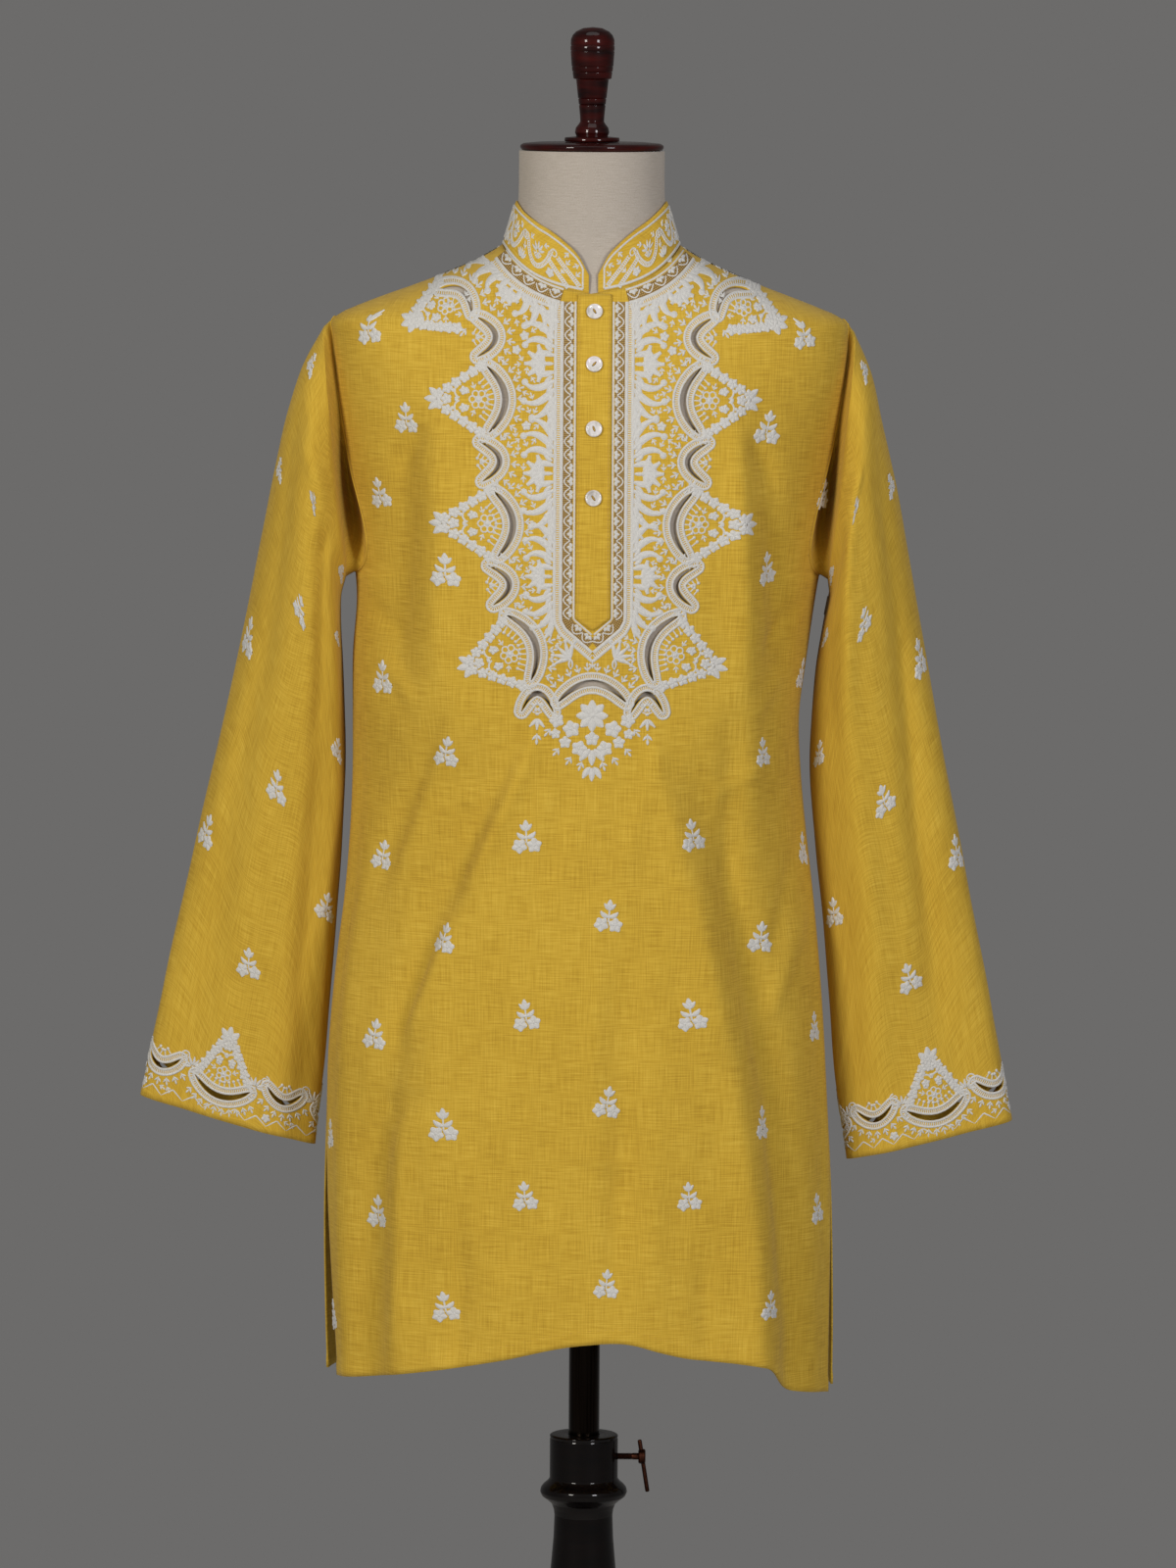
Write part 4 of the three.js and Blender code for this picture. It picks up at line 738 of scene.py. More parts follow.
# %% Cutwork slots in the yoke
CUT_REACH = 3
SCALLOPS = 3
SCALLOP_PITCH = 101
FIRST_CURL_Z = 1468
CURL = (32, 15, 4.4, 8)  # length, bulge, slot width, how far outside the edge line
ARC = (53, 14, 5.2, 0)
SHOULDER_ARC = (128, 1506, 101, 1487, 10, 4.4)  # x and z of both ends, bulge, slot width
FOOT_ARC = (0, 1171, 56, 16, 5.2)  # x, z, length, bulge, slot width
FOOT_CURL = (45, 1163, 26, 15, 4.4)
yoke_edge = column((1500, 1419, 1368, 1318, 1266, 1243, 1190), (89, 87, 84, 79, 76, 71, 50))


def crescent(x1, y1, x2, y2, bulge, width, steps=14):
    """Centre line of a bowed slot and its half width, both along the way from end to end."""
    t = np.linspace(0, 1, steps + 1)
    along = np.array([x2 - x1, y2 - y1])
    side = np.array([-along[1], along[0]]) / np.hypot(*along)
    bow = 1 - (2 * t - 1) ** 2
    line = np.array([x1, y1]) + t[:, None] * along + (bulge * bow)[:, None] * side
    return line, width / 2 * (0.15 + 0.85 * np.sqrt(bow)), side


def half_slots():
    """The slots on the right of the centre line, from the shoulder down; x is measured from that line."""
    x1, z1, x2, z2, bulge, width = SHOULDER_ARC
    slots = [crescent(x1, z1, x2, z2, -bulge, width)]
    for k in range(SCALLOPS):
        z = FIRST_CURL_Z - k * SCALLOP_PITCH
        for middle, (length, bulge, width, out) in ((z, CURL), (z - SCALLOP_PITCH / 2, ARC)):
            top, foot = middle + length / 2, middle - length / 2
            ends = [float(yoke_edge(end)) + out for end in (top, foot)]
            slots.append(crescent(ends[0], top, ends[1], foot, -bulge, width))
    x, z, length, bulge, width = FOOT_CURL
    slots.append(crescent(x - length / 2, z, x + length / 2, z, bulge, width))
    return slots


def yoke_slots():
    flip = np.array([-1, 1])
    shift = np.array([CENTRE_X, 0])
    slots = []
    for line, half, side in half_slots():
        slots += [(line + shift, half, side), (line * flip + shift, half, side * flip)]
    x, z, length, bulge, width = FOOT_ARC
    middle = CENTRE_X + x
    return slots + [crescent(middle - length / 2, z, middle + length / 2, z, bulge, width)]


def cut(thing, slots, place):
    """Take crescent slots out of a closed shell."""
    points, faces = [], []
    for line, half, side in slots:
        n = len(line)
        edges = [line + side * half[:, None], line - side * half[:, None]]
        start = len(points)
        reaches = (CUT_REACH, -CLOTH - CUT_REACH)
        layers = [place(e[:, 0], e[:, 1], np.full(n, out)) for out in reaches for e in edges]
        points.extend(np.concatenate(layers).tolist())
        a, b, c, d = (start + k * n + np.arange(n) for k in range(4))
        prism = [strip_faces(a, b), strip_faces(b, d), strip_faces(d, c), strip_faces(c, a)]
        prism.append(np.array([[a[0], c[0], d[0], b[0]], [a[-1], b[-1], d[-1], c[-1]]]))
        prism = np.concatenate(prism)
        faces.extend((prism if volume(points, prism) > 0 else prism[:, ::-1]).tolist())
    cutter = make_object("cutter", points, faces)
    modifier = thing.modifiers.new("cutwork", "BOOLEAN")
    modifier.operation = "DIFFERENCE"
    modifier.solver = "MANIFOLD"
    modifier.object = cutter
    evaluated = thing.evaluated_get(bpy.context.evaluated_depsgraph_get())
    mesh = bpy.data.meshes.new_from_object(evaluated)
    thing.modifiers.clear()
    thing.data = mesh
    bpy.data.objects.remove(cutter)


cut(front, yoke_slots(), over_front)
print("slots in the yoke:", len(yoke_slots()), "front faces now:", len(front.data.polygons))

# %% [markdown]
# A sleeve is a tube lofted between the armhole and the cuff. Its sections are flattened ovals, tilted so
# that one end lies at the outer fold and the other at the inner one. Close to the armhole it blends into
# the edge of the body, and tucks in at the front where the arm would press the cloth.

# %% Tables of the sleeves
SLEEVES = {  # x and z of the outer edge, x and z of the inner edge, half depth in front and behind, middle's y
    "left": (
        (224, 1470, 205, 1262, 60, 60, 0), (241, 1436, 207, 1245, 68, 64, 0),
        (253, 1398, 207, 1222, 70, 66, 1), (263, 1352, 205.5, 1190, 68, 66, 3),
        (275, 1290, 204, 1148, 63, 62, 6), (291, 1210, 203.5, 1095, 56, 56, 10),
        (310, 1124, 206, 1036, 49, 49, 16), (328, 1043, 210.5, 975, 42, 42, 22),
        (345, 966, 215.5, 912, 35, 35, 27), (361, 892, 221, 847, 28, 28, 30),
        (376, 822, 228, 781, 21, 21, 32),
    ),
    "right": (
        (221, 1468, 201, 1262, 60, 60, 0), (235, 1432, 200, 1246, 68, 64, 0),
        (244, 1392, 195, 1222, 71, 66, 0), (256, 1340, 190, 1190, 70, 66, 2),
        (268, 1275, 187, 1148, 65, 62, 4), (283, 1195, 186, 1095, 57, 56, 6),
        (299, 1110, 191, 1036, 50, 49, 9), (315, 1028, 198, 975, 43, 42, 13),
        (330, 952, 203.5, 912, 36, 35, 16), (345, 878, 209.5, 842, 29, 28, 18),
        (359, 807, 219.5, 773, 22, 22, 20),
    ),
}
SLEEVE_FOLDS = {  # turn at the top and bottom, share of the length where it starts and ends, width, rise
    "left": (
        (42, 58, 0.08, 0.55, 16, -6), (88, 112, 0.1, 1, 15, 4), (128, 140, 0.3, 1, 12, -3.5),
        (250, 235, 0.1, 0.9, 16, -5), (300, 290, 0.2, 1, 15, 3.5),
    ),
    "right": (
        (95, 118, 0.05, 0.9, 15, 5), (52, 62, 0.3, 1, 15, -5), (24, 30, 0.4, 1, 13, 3),
        (240, 228, 0.12, 0.9, 16, -5), (290, 300, 0.2, 1, 15, 3.5),
    ),
}
# Creases of both sleeves on a map of mm round and mm along: ends, width, rise
SLEEVE_CREASES = {
    "left": (
        (110, 70, 62, 200, 7, 2.8), (126, 90, 92, 270, 7, -3.0), (100, 300, 66, 420, 7, 1.8),
        (128, 330, 100, 470, 8, -2.0), (60, 120, 30, 240, 8, -2.0), (150, 160, 132, 330, 8, 2.2),
        (84, 470, 70, 640, 9, 1.6), (50, 400, 44, 600, 8, -1.6), (240, 120, 290, 260, 9, -2.4),
        (260, 280, 300, 420, 9, 2.0), (236, 420, 250, 620, 9, 1.8), (112, 60, 118, 440, 11, -5),
        (116, 330, 132, 720, 10, -4.5), (146, 40, 146, 420, 10, 4), (144, 330, 152, 720, 10, 3),
        (74, 200, 70, 620, 16, 3),
    ),
    "right": (
        (112, 80, 70, 190, 7, 2.6), (130, 110, 100, 260, 7, -2.6), (96, 260, 80, 430, 8, 1.8),
        (60, 200, 46, 330, 8, -2.2), (132, 300, 112, 480, 8, -2.0), (70, 430, 62, 640, 9, -1.6),
        (110, 470, 100, 650, 8, 1.5), (245, 130, 290, 250, 9, -2.4), (262, 300, 300, 440, 9, 2.0),
        (42, 160, 56, 520, 12, -6), (52, 400, 80, 740, 12, -6), (106, 60, 108, 460, 12, 4),
        (104, 380, 114, 740, 12, 3.4), (140, 60, 138, 420, 10, -3),
    ),
}
SLEEVE_SQUARENESS = 2.15
# The hollow where the arm would press the sleeve: how deep, at which turn, how wide, and the gap at its seam
POCKET_DEPTH = 42
POCKET_TURN = 116
POCKET_DEG = 31
POCKET_SEAM = 0.6
SLEEVE_ROWS = 11
ROW_LENGTH = 70
SLEEVE_COLUMNS = ("out_x", "out_z", "in_x", "in_z", "front", "back", "y")
sleeve_tables = {
    side: table([(k + 1, *row) for k, row in enumerate(rows)], SLEEVE_COLUMNS)
    for side, rows in SLEEVES.items()
}
print("sleeve rows:", {side: len(rows) for side, rows in SLEEVES.items()})

# %% [markdown]
# A place on a sleeve is found from a row down its length and a turn round it. Up to the first row or two
# the tube hangs partly where the armhole is and partly where the table puts it, and the pocket behind the
# front seam is a soft hollow pushed into that blend.

# %% The surface of a sleeve
def armhole_point(sign, turn):
    """The armhole's edge on the body; sign is -1 on the left and 1 on the right."""
    ahead = np.sin(turn) >= 0
    degrees = np.abs(np.degrees(turn))
    inset = np.radians(np.where(ahead, armhole["front"](degrees), armhole["back"](degrees)))
    angle = np.where(ahead, math.pi / 2 - inset, math.pi / 2 + inset)
    return body_point(sign * angle, armhole_z(turn))


def sleeve_point(side, row, turn):
    """A sleeve's outer face; turn runs from -pi to pi, 0 outside and a quarter turn in front."""
    sign = -1 if side == "left" else 1
    row, turn = np.broadcast_arrays(np.asarray(row, float), np.asarray(turn, float))
    turn = (turn + math.pi) % (2 * math.pi) - math.pi
    t = sleeve_tables[side]
    at = np.maximum(row, 1)
    out = np.stack([sign * t["out_x"](at), t["y"](at), t["out_z"](at)], -1)
    into = np.stack([sign * t["in_x"](at), t["y"](at), t["in_z"](at)], -1)
    c, s = np.cos(turn), np.sin(turn)
    share = (row - 1) / (SLEEVE_ROWS - 1)
    degrees = np.degrees(turn) % 360
    push = 0
    for start, end, top, bottom, width, rise in SLEEVE_FOLDS[side]:
        push = push + fold_push(degrees, (share - top) / (bottom - top), start, end, width, rise)
    fine = line_push(degrees, row * ROW_LENGTH, SLEEVE_CREASES[side]) + waves(degrees * 1.1, row * ROW_LENGTH)
    push = push + fine * smooth((row - 0.6) / 1.5)
    half = (out - into) / 2
    width = np.linalg.norm(half, axis=-1)
    depth = np.where(s > 0, t["front"](at), t["back"](at))
    power = 2 / SLEEVE_SQUARENESS
    along = signed_power(c, power) * (1 + push * np.abs(c) / width)
    hung = (out + into) / 2 + half * along[..., None]
    hung[..., 1] -= signed_power(s, power) * (depth + push * np.abs(s))
    tuck = np.exp(-(((degrees - POCKET_TURN) / POCKET_DEG) ** 2))
    sewn = armhole_point(sign, turn)
    sewn[..., 0] += sign * (SEAM_GAP + POCKET_SEAM * tuck)
    weight = np.where(row <= 1, 0.82 * smooth(row), 0.82 + 0.18 * smooth(row - 1))[..., None]
    near = sewn * (1 - weight) + hung * weight
    near[..., 1] += POCKET_DEPTH * np.sin(math.pi * np.clip(row / 1.3, 0, 1) ** 0.72) ** 2 * tuck
    return np.where((row >= 2)[..., None], hung, near)


def over_sleeve(side, row, turn, out=0.0):
    """A place at a distance over a sleeve's outer face."""
    sign = -1 if side == "left" else 1
    low = np.clip(row, 0.06, SLEEVE_ROWS - 0.06)
    n = sign * normals(lambda a, b: sleeve_point(side, b, a), turn, low, math.radians(1.5), 0.05)
    return sleeve_point(side, row, turn) + n * np.asarray(out)[..., None]


across_cuff = over_sleeve("left", SLEEVE_ROWS, np.array([0.0, math.pi]))
print("left cuff, flat:", round(float(np.linalg.norm(across_cuff[0] - across_cuff[1]))), "mm")

# %% [markdown]
# A cuff is decorated as a flat strip would be, so it gets a map of its own: millimetres round the edge and
# up from it. The same map places its cutwork slots here and its embroidery later.

# %% The two sleeves with their cuff slots
def cuff_place(side):
    """Places over the cuff by mm round its edge from the outer fold and mm up from the edge."""
    turns = np.linspace(0, 2 * math.pi, 721)
    ring = sleeve_point(side, SLEEVE_ROWS, turns)
    around = path_lengths(ring, 0)
    quarter = np.array([math.pi / 2])
    step = sleeve_point(side, SLEEVE_ROWS, quarter) - sleeve_point(side, SLEEVE_ROWS - 1, quarter)
    row_length = float(np.linalg.norm(step))

    def place(s, height, out=0.0):
        turn = np.interp(s % around[-1], around, turns)
        return over_sleeve(side, SLEEVE_ROWS - height / row_length, turn, out)

    return float(around[-1]), place


CUFF_REPEATS = 3
CUFF_ARC = (50, 11, 5, 31)  # length, bulge, slot, height over the edge
CUFF_CURL = (32, 10, 4.2, 40)


def cuff_slots(girth):
    slots = []
    for k in range(CUFF_REPEATS):
        for part, (length, bulge, width, height) in ((0.66, CUFF_ARC), (0.16, CUFF_CURL)):
            middle = (k + part) * girth / CUFF_REPEATS
            slots.append(crescent(middle - length / 2, height, middle + length / 2, height, -bulge, width))
    return slots


sleeves, cuffs = {}, {}
for side in ("left", "right"):
    rows = np.concatenate([np.linspace(0, 2, 36, endpoint=False), np.linspace(2, SLEEVE_ROWS, 126)])
    turns = np.linspace(0, 2 * math.pi, 128, endpoint=False)
    row, turn = np.meshgrid(rows, turns, indexing="ij")
    outer = over_sleeve(side, row, turn)
    n = over_sleeve(side, row, turn, 1.0) - outer
    from_edge = (SLEEVE_ROWS - row) * ROW_LENGTH
    edge_step = 0.5 * smooth((10 - from_edge) / 2.5)
    outside = outer + n * edge_step[..., None]
    sleeves[side] = shell(f"sleeve_{side}", outside, outer - n * CLOTH, [linen], loop=True)
    cuffs[side] = cuff_place(side)
    cut(sleeves[side], cuff_slots(cuffs[side][0]), cuffs[side][1])
    print("sleeve", side, "cuff girth", round(cuffs[side][0]), "faces", len(sleeves[side].data.polygons))

# %% [markdown]
# The band collar stands on the neckline and leans in to the neck. It is a strip of two layers, and its
# front ends are rounded. The placket is a strip too, laid on the front and finished in a point.

# %% Collar and placket
COLLAR_RISE = 36
COLLAR_TAPER = 0.855
COLLAR_DEPTH = 66
COLLAR_END_GAP = 3.8
COLLAR_MIDDLE_X = 2
PLACKET_WIDTH = 28
PLACKET_TOP_Z = 1502.6
PLACKET_SHOULDER_Z = 1240
PLACKET_POINT = 10


def collar_point(angle, height):
    """The collar's outer face at an angle round the neck and a height over its seam."""
    foot = body_point(angle, neck_z(angle), False)
    lean = height / COLLAR_RISE
    share = np.abs(foot[..., 0]) / float(body["right"](NECK_POINT_Z))
    narrowing = 1 - (1 - COLLAR_TAPER) * smooth(share)
    top_share = np.minimum(share * narrowing / COLLAR_TAPER, 1)
    top_y = np.sign(foot[..., 1]) * COLLAR_DEPTH * (1 - top_share**2.1) ** (1 / 2.1)
    x = foot[..., 0] * (1 + (narrowing - 1) * lean)
    return np.stack([x, foot[..., 1] + (top_y - foot[..., 1]) * lean, foot[..., 2] + height], -1)


def over_collar(angle, height, out=0.0):
    n = normals(collar_point, angle, height, ANGLE_STEP, 1)
    return collar_point(angle, height) + n * np.asarray(out)[..., None]


def collar_rise(angle):
    """How high the collar stands over its seam."""
    foot = body_point(angle, neck_z(angle), False)
    away = np.maximum(np.abs(foot[..., 0] - COLLAR_MIDDLE_X) - COLLAR_END_GAP, 0)
    return np.where(np.cos(angle) > 0, neckline["rise"](away), COLLAR_RISE)


collar_start = float(front_angle(np.array(COLLAR_MIDDLE_X + COLLAR_END_GAP), FRONT_NECK_Z))
collar_end = 2 * math.pi + float(front_angle(np.array(COLLAR_MIDDLE_X - COLLAR_END_GAP), FRONT_NECK_Z))
even = np.linspace(0, 1, 221)
angle = collar_start + (collar_end - collar_start) * (even - 0.14 * np.sin(2 * math.pi * even))
layers = np.linspace(0, 1, 15)[:, None]
height = SEAM_GAP + (collar_rise(angle)[None, :] - SEAM_GAP) * layers
angle = np.broadcast_to(angle, height.shape)
rolled = 0.5 * np.sin(math.pi * np.clip(layers, 0, 1)) ** 0.5
collar_outside = over_collar(angle, height, rolled - 0.4)
collar_inside = over_collar(angle, height, -COLLAR_CLOTH)
collar = shell("collar_band", collar_outside, collar_inside, [linen])

across = np.linspace(-1, 1, 15)[None, :]
down = np.linspace(0, 1, 110)[:, None]
point = PLACKET_POINT * (1 - np.abs(across))
z = PLACKET_TOP_Z + (PLACKET_SHOULDER_Z - point - PLACKET_TOP_Z) * down
x = np.broadcast_to(CENTRE_X + across * PLACKET_WIDTH / 2, z.shape)
crown = 0.35 * (1 - np.abs(across) ** 6) - 0.25
placket_outside = over_front(x, z, SEAM_GAP + CLOTH + crown)
placket_inside = over_front(x, z, np.full(z.shape, SEAM_GAP))
placket = shell("placket_strip", placket_outside, placket_inside, [linen])
print("collar and placket points:", len(collar.data.vertices), len(placket.data.vertices))

# %% [markdown]
# The embroidery is real relief. Every stroke is a low ribbon drawn on a flat pattern in millimetres and
# then laid on the cloth by the same functions that made it. The pattern is built by rule from common
# ornament: ladder-stitch bands round the slots, running scrolls with leaves, small sprigs and five-petalled
# flowers. A class that collects strokes keeps the whole yoke one light mesh.

# %% A flat pattern of stitches
def offset_line(path, distance):
    """A path moved to its left by a distance."""
    path = np.asarray(path, float)
    ahead = np.gradient(path, axis=0)
    ahead /= np.linalg.norm(ahead, axis=1, keepdims=True)
    return path + distance * np.stack([-ahead[:, 1], ahead[:, 0]], -1)


def resample(path, step):
    """The same path with evenly spaced points."""
    path = np.asarray(path, float)
    run = np.concatenate([[0], np.cumsum(np.linalg.norm(np.diff(path, axis=0), axis=1))])
    places = np.linspace(0, run[-1], max(int(run[-1] / step), 2) + 1)
    return np.stack([np.interp(places, run, path[:, k]) for k in (0, 1)], -1)


class Stitches:
    """Strokes of thread on a flat pattern, in millimetres, collected for one mesh."""

    def __init__(self):
        self.points, self.uvs, self.faces, self.count = [], [], [], 0
        self.taken = []

    def grid(self, points, uv):
        n, m = points.shape[:2]
        self.faces.append(grid_faces(n, m, self.count))
        self.points.append(points.reshape(-1, 3))
        self.uvs.append(uv.reshape(-1, 2))
        self.count += n * m

    def ribbon(self, path, width, height=0.7, closed=False):
        """A raised cord along a path; width may change along it."""
        path = np.asarray(path, float)
        if closed:
            path = np.concatenate([path, path[:1]])
            ahead = np.roll(path[:-1], -1, 0) - np.roll(path[:-1], 1, 0)
            ahead = np.concatenate([ahead, ahead[:1]])
        else:
            ahead = np.gradient(path, axis=0)
        ahead /= np.maximum(np.linalg.norm(ahead, axis=1, keepdims=True), 1e-6)
        left = np.stack([-ahead[:, 1], ahead[:, 0]], -1)
        half = np.broadcast_to(np.asarray(width, float) / 2, (len(path),))
        self.taken.append(np.column_stack([path, half]))
        if np.max(half) > 0.9:
            places, heights = np.array([-1, -0.72, 0, 0.72, 1]), np.array([-0.15, 0.72, 1, 0.72, -0.15])
        else:
            places, heights = np.array([-1, 0, 1]), np.array([-0.15, 1, -0.15])
        flat = path[:, None, :] + left[:, None, :] * (half[:, None] * places[None, :])[..., None]
        raised = np.broadcast_to(heights * height, flat.shape[:2])
        run = np.concatenate([[0], np.cumsum(np.linalg.norm(np.diff(path, axis=0), axis=1))])
        uv = np.stack(np.broadcast_arrays(run[:, None], half[:, None] * places[None, :]), -1) * MM
        self.grid(np.concatenate([flat, raised[..., None]], -1), uv + 0.013 * (self.count % 97))

    def leaf(self, start, end, width, bend=0.0, height=0.7):
        """A satin-stitched leaf or petal from its foot to its tip."""
        start, end = np.asarray(start, float), np.asarray(end, float)
        t = np.linspace(0, 1, 7)[:, None]
        along = end - start
        side = np.array([-along[1], along[0]])
        path = start + along * t + side * bend * 4 * t * (1 - t)
        shape = np.sin(math.pi * np.clip(t[:, 0] ** 0.85, 0.03, 0.97)) ** 0.6
        self.ribbon(path, width * shape, height)

    def dot(self, centre, radius, height=0.8):
        turns = np.linspace(0, 2 * math.pi, 9)
        rings = np.array([[radius, -0.15], [radius * 0.72, 0.75 * height], [0.05, height]])
        centre = np.asarray(centre, float)
        self.taken.append(np.array([[centre[0], centre[1], radius]]))
        flat = centre + rings[:, None, :1] * np.stack([np.cos(turns), np.sin(turns)], -1)[None]
        raised = np.broadcast_to(rings[:, None, 1:], flat.shape[:2] + (1,))
        points = np.concatenate([flat, raised], -1)[::-1]
        self.grid(points, (flat[::-1] - centre) * MM)

    def flower(self, centre, radius, petals=5, turn=0.0):
        centre = np.asarray(centre, float)
        for k in range(petals):
            a = turn + 2 * math.pi * k / petals
            d = np.array([math.cos(a), math.sin(a)])
            self.leaf(centre + d * radius * 0.1, centre + d * radius, radius * 4.8 / petals, 0, 0.75)
        self.dot(centre, radius * 0.26, 0.9)

    def open_flower(self, centre, radius, petals=5, turn=0.0):
        """A flower whose petals are only outlined, round a knot."""
        centre = np.asarray(centre, float)
        t = np.linspace(0, 2 * math.pi, 11)[:-1]
        for k in range(petals):
            a = turn + 2 * math.pi * k / petals
            d = np.array([math.cos(a), math.sin(a)])
            middle = centre + d * radius * 0.66
            loop = middle + radius * 0.36 * np.stack([np.cos(t), np.sin(t)], -1)
            self.ribbon(loop, 1.5, 0.65, closed=True)
        self.dot(centre, radius * 0.3)

    def fan(self, foot, radius, direction, count, spread, width=None):
        foot = np.asarray(foot, float)
        width = width or 1.5 * radius * spread / count
        for a in direction + np.linspace(-spread / 2, spread / 2, count):
            d = np.array([math.cos(a), math.sin(a)])
            self.leaf(foot + d * radius * 0.15, foot + d * radius, width, 0.06 * np.sign(a - direction))

    def twig(self, foot, length, direction):
        foot = np.asarray(foot, float)
        d = np.array([math.cos(direction), math.sin(direction)])
        side = np.array([-d[1], d[0]])
        tip = foot + d * length
        self.ribbon(np.linspace(foot, tip, 3), 1.2, 0.5)
        self.leaf(foot + d * length * 0.2, foot + d * length * 0.85 + side * length * 0.6, length * 0.4)
        self.leaf(foot + d * length * 0.2, foot + d * length * 0.85 - side * length * 0.6, length * 0.4)
        self.leaf(tip - d * length * 0.2, tip + d * length * 0.5, length * 0.44)

    def frond(self, foot, heading, length, curl, width, bulb=True):
        """An acanthus leaf: it leaves the stem straight, swells, and rolls over at its tip."""
        t = np.linspace(0, 1, 11)
        turn = heading + curl * t**2
        step = length / 10 * np.stack([np.cos(turn), np.sin(turn)], -1)
        path = np.asarray(foot, float) + np.concatenate([[[0, 0]], np.cumsum(step[:-1], 0)])
        self.ribbon(path, width * (0.3 + 0.7 * np.sin(math.pi * np.clip(t**0.75, 0, 0.9))), 0.8)
        if bulb:
            self.dot(path[-1], width * 0.5)

    def scroll(self, centre, radius, start, turns):
        """A cord rolled into a spiral."""
        t = np.linspace(0, 1, int(8 + abs(turns) * 14))
        a = start + turns * 2 * math.pi * t
        r = radius * (1 - 0.6 * t)
        spiral = np.asarray(centre, float) + r[:, None] * np.stack([np.cos(a), np.sin(a)], -1)
        self.ribbon(spiral, 1.7 - 0.6 * t)

    def foliage(self, at, reach=1.0):
        """A cluster of fronds that opens from a stem; at(out, along) gives places, out of and along it."""
        def frond(out, along, heading, length, curl, width, bulb=True):
            foot, ahead = at(out, along), at(out + math.cos(heading), along + math.sin(heading))
            probe = at(out - math.sin(heading) * 0.01, along + math.cos(heading) * 0.01)
            d, e = ahead - foot, probe - foot
            hand = np.sign(d[0] * e[1] - d[1] * e[0])
            self.frond(foot, math.atan2(d[1], d[0]), length * reach, curl * hand, width, bulb)

        fronds = ((20, -2.1, 5.4), (26, -1.8, 6.2), (28, -1.6, 6.4), (25, -1.3, 6.0), (20, -0.7, 5.2))
        for sign in (-1, 1):
            for k, (length, curl, width) in enumerate(fronds):
                heading = sign * (0.3 + 0.27 * k)
                frond(-0.8, sign * (6.5 + 6.8 * k), heading, length, sign * curl, width, k < 4)
            for k in range(4):
                frond(0.5, sign * (10 + 6.8 * k), sign * (0.6 + 0.28 * k), 11, sign * 1.3, 3.8, False)
            frond(-0.8, sign * 37, sign * 1.35, 13, sign * 0.3, 4.4, False)
        for turn in np.linspace(-1.3, 1.3, 5):
            frond(8 * reach, 0, turn, 15, 0.0, 6.0, False)
        self.dot(at(8 * reach, 0), 3.0)
        frond(0, 0, 0.0, 9, 0.0, 3.4, False)
        for sign in (-1, 1):
            frond(12 * reach, 0, sign * 1.2, 13, sign * 2.4, 2.4)

    def fill(self, corners, pitch, inside):
        """Sow small twigs, flowers and knots where the ground is still bare."""
        (x1, y1), (x2, y2) = corners
        known = np.concatenate(self.taken)
        for j in range(int((y2 - y1) / (pitch * 0.87))):
            for i in range(int((x2 - x1) / pitch)):
                p = np.array([x1 + (i + 0.5 * (j % 2)) * pitch, y1 + j * pitch * 0.87])
                if not inside(*p):
                    continue
                gap = np.hypot(known[:, 0] - p[0], known[:, 1] - p[1]) - known[:, 2]
                near = np.argmin(gap)
                room = gap[near]
                count = len(self.taken)
                if room > 3.6:
                    self.flower(p, 4.0, 5, i + j)
                elif room > 1.9:
                    away = math.atan2(p[1] - known[near, 1], p[0] - known[near, 0])
                    self.twig(p - np.array([math.cos(away), math.sin(away)]) * 1.6, 4.0, away)
                if len(self.taken) > count:
                    known = np.concatenate([known, *self.taken[count:]])

    def rungs(self, path, half, pitch, height=0.45):
        """Short stitches across a path."""
        path = np.asarray(path, float)
        run = np.concatenate([[0], np.cumsum(np.linalg.norm(np.diff(path, axis=0), axis=1))])
        ahead = np.gradient(path, axis=0)
        ahead /= np.maximum(np.linalg.norm(ahead, axis=1, keepdims=True), 1e-6)
        for s in np.arange(pitch / 2, run[-1], pitch):
            p = np.array([np.interp(s, run, path[:, k]) for k in (0, 1)])
            d = np.array([np.interp(s, run, ahead[:, k]) for k in (0, 1)])
            side = np.array([-d[1], d[0]])
            self.ribbon([p - side * half, p, p + side * half], 1.2, height)

    def slot_band(self, slot, lift=0.0):
        """Ladder stitch round a slot: two cords with short stitches between them."""
        for offset, width, height in ((0.9, 2.0, 0.75), (5.4, 2.2, 0.8)):
            self.ribbon(self.round_slot(slot, offset), width, height + lift, closed=True)
        middle = self.round_slot(slot, 3.1)
        self.rungs(np.concatenate([middle, middle[:1]]), 2.0, 1.75, 0.6 + lift)

    def rays(self, slot, sign, length, pitch=4.3):
        """Short stitches with a knot at the tip, standing off one side of a slot's band."""
        outer = resample(offset_line(slot[0], sign * 9.4), pitch)
        for k, p in enumerate(outer[1:-1]):
            a, b = outer[k], outer[k + 2]
            d = sign * np.array([-(b - a)[1], (b - a)[0]]) / np.linalg.norm(b - a)
            self.ribbon([p - d * 1.2, p + d * length], 1.3, 0.5)
            self.dot(p + d * length, 1.5)

    def twigs(self, slot, sign, length, pitch=7.0):
        """Three-leaved twigs standing off one side of a slot's band."""
        outer = resample(offset_line(slot[0], sign * 9.6), pitch)
        for k, p in enumerate(outer[1:-1]):
            a, b = outer[k], outer[k + 2]
            d = sign * np.array([-(b - a)[1], (b - a)[0]])
            self.twig(p, length, math.atan2(d[1], d[0]))

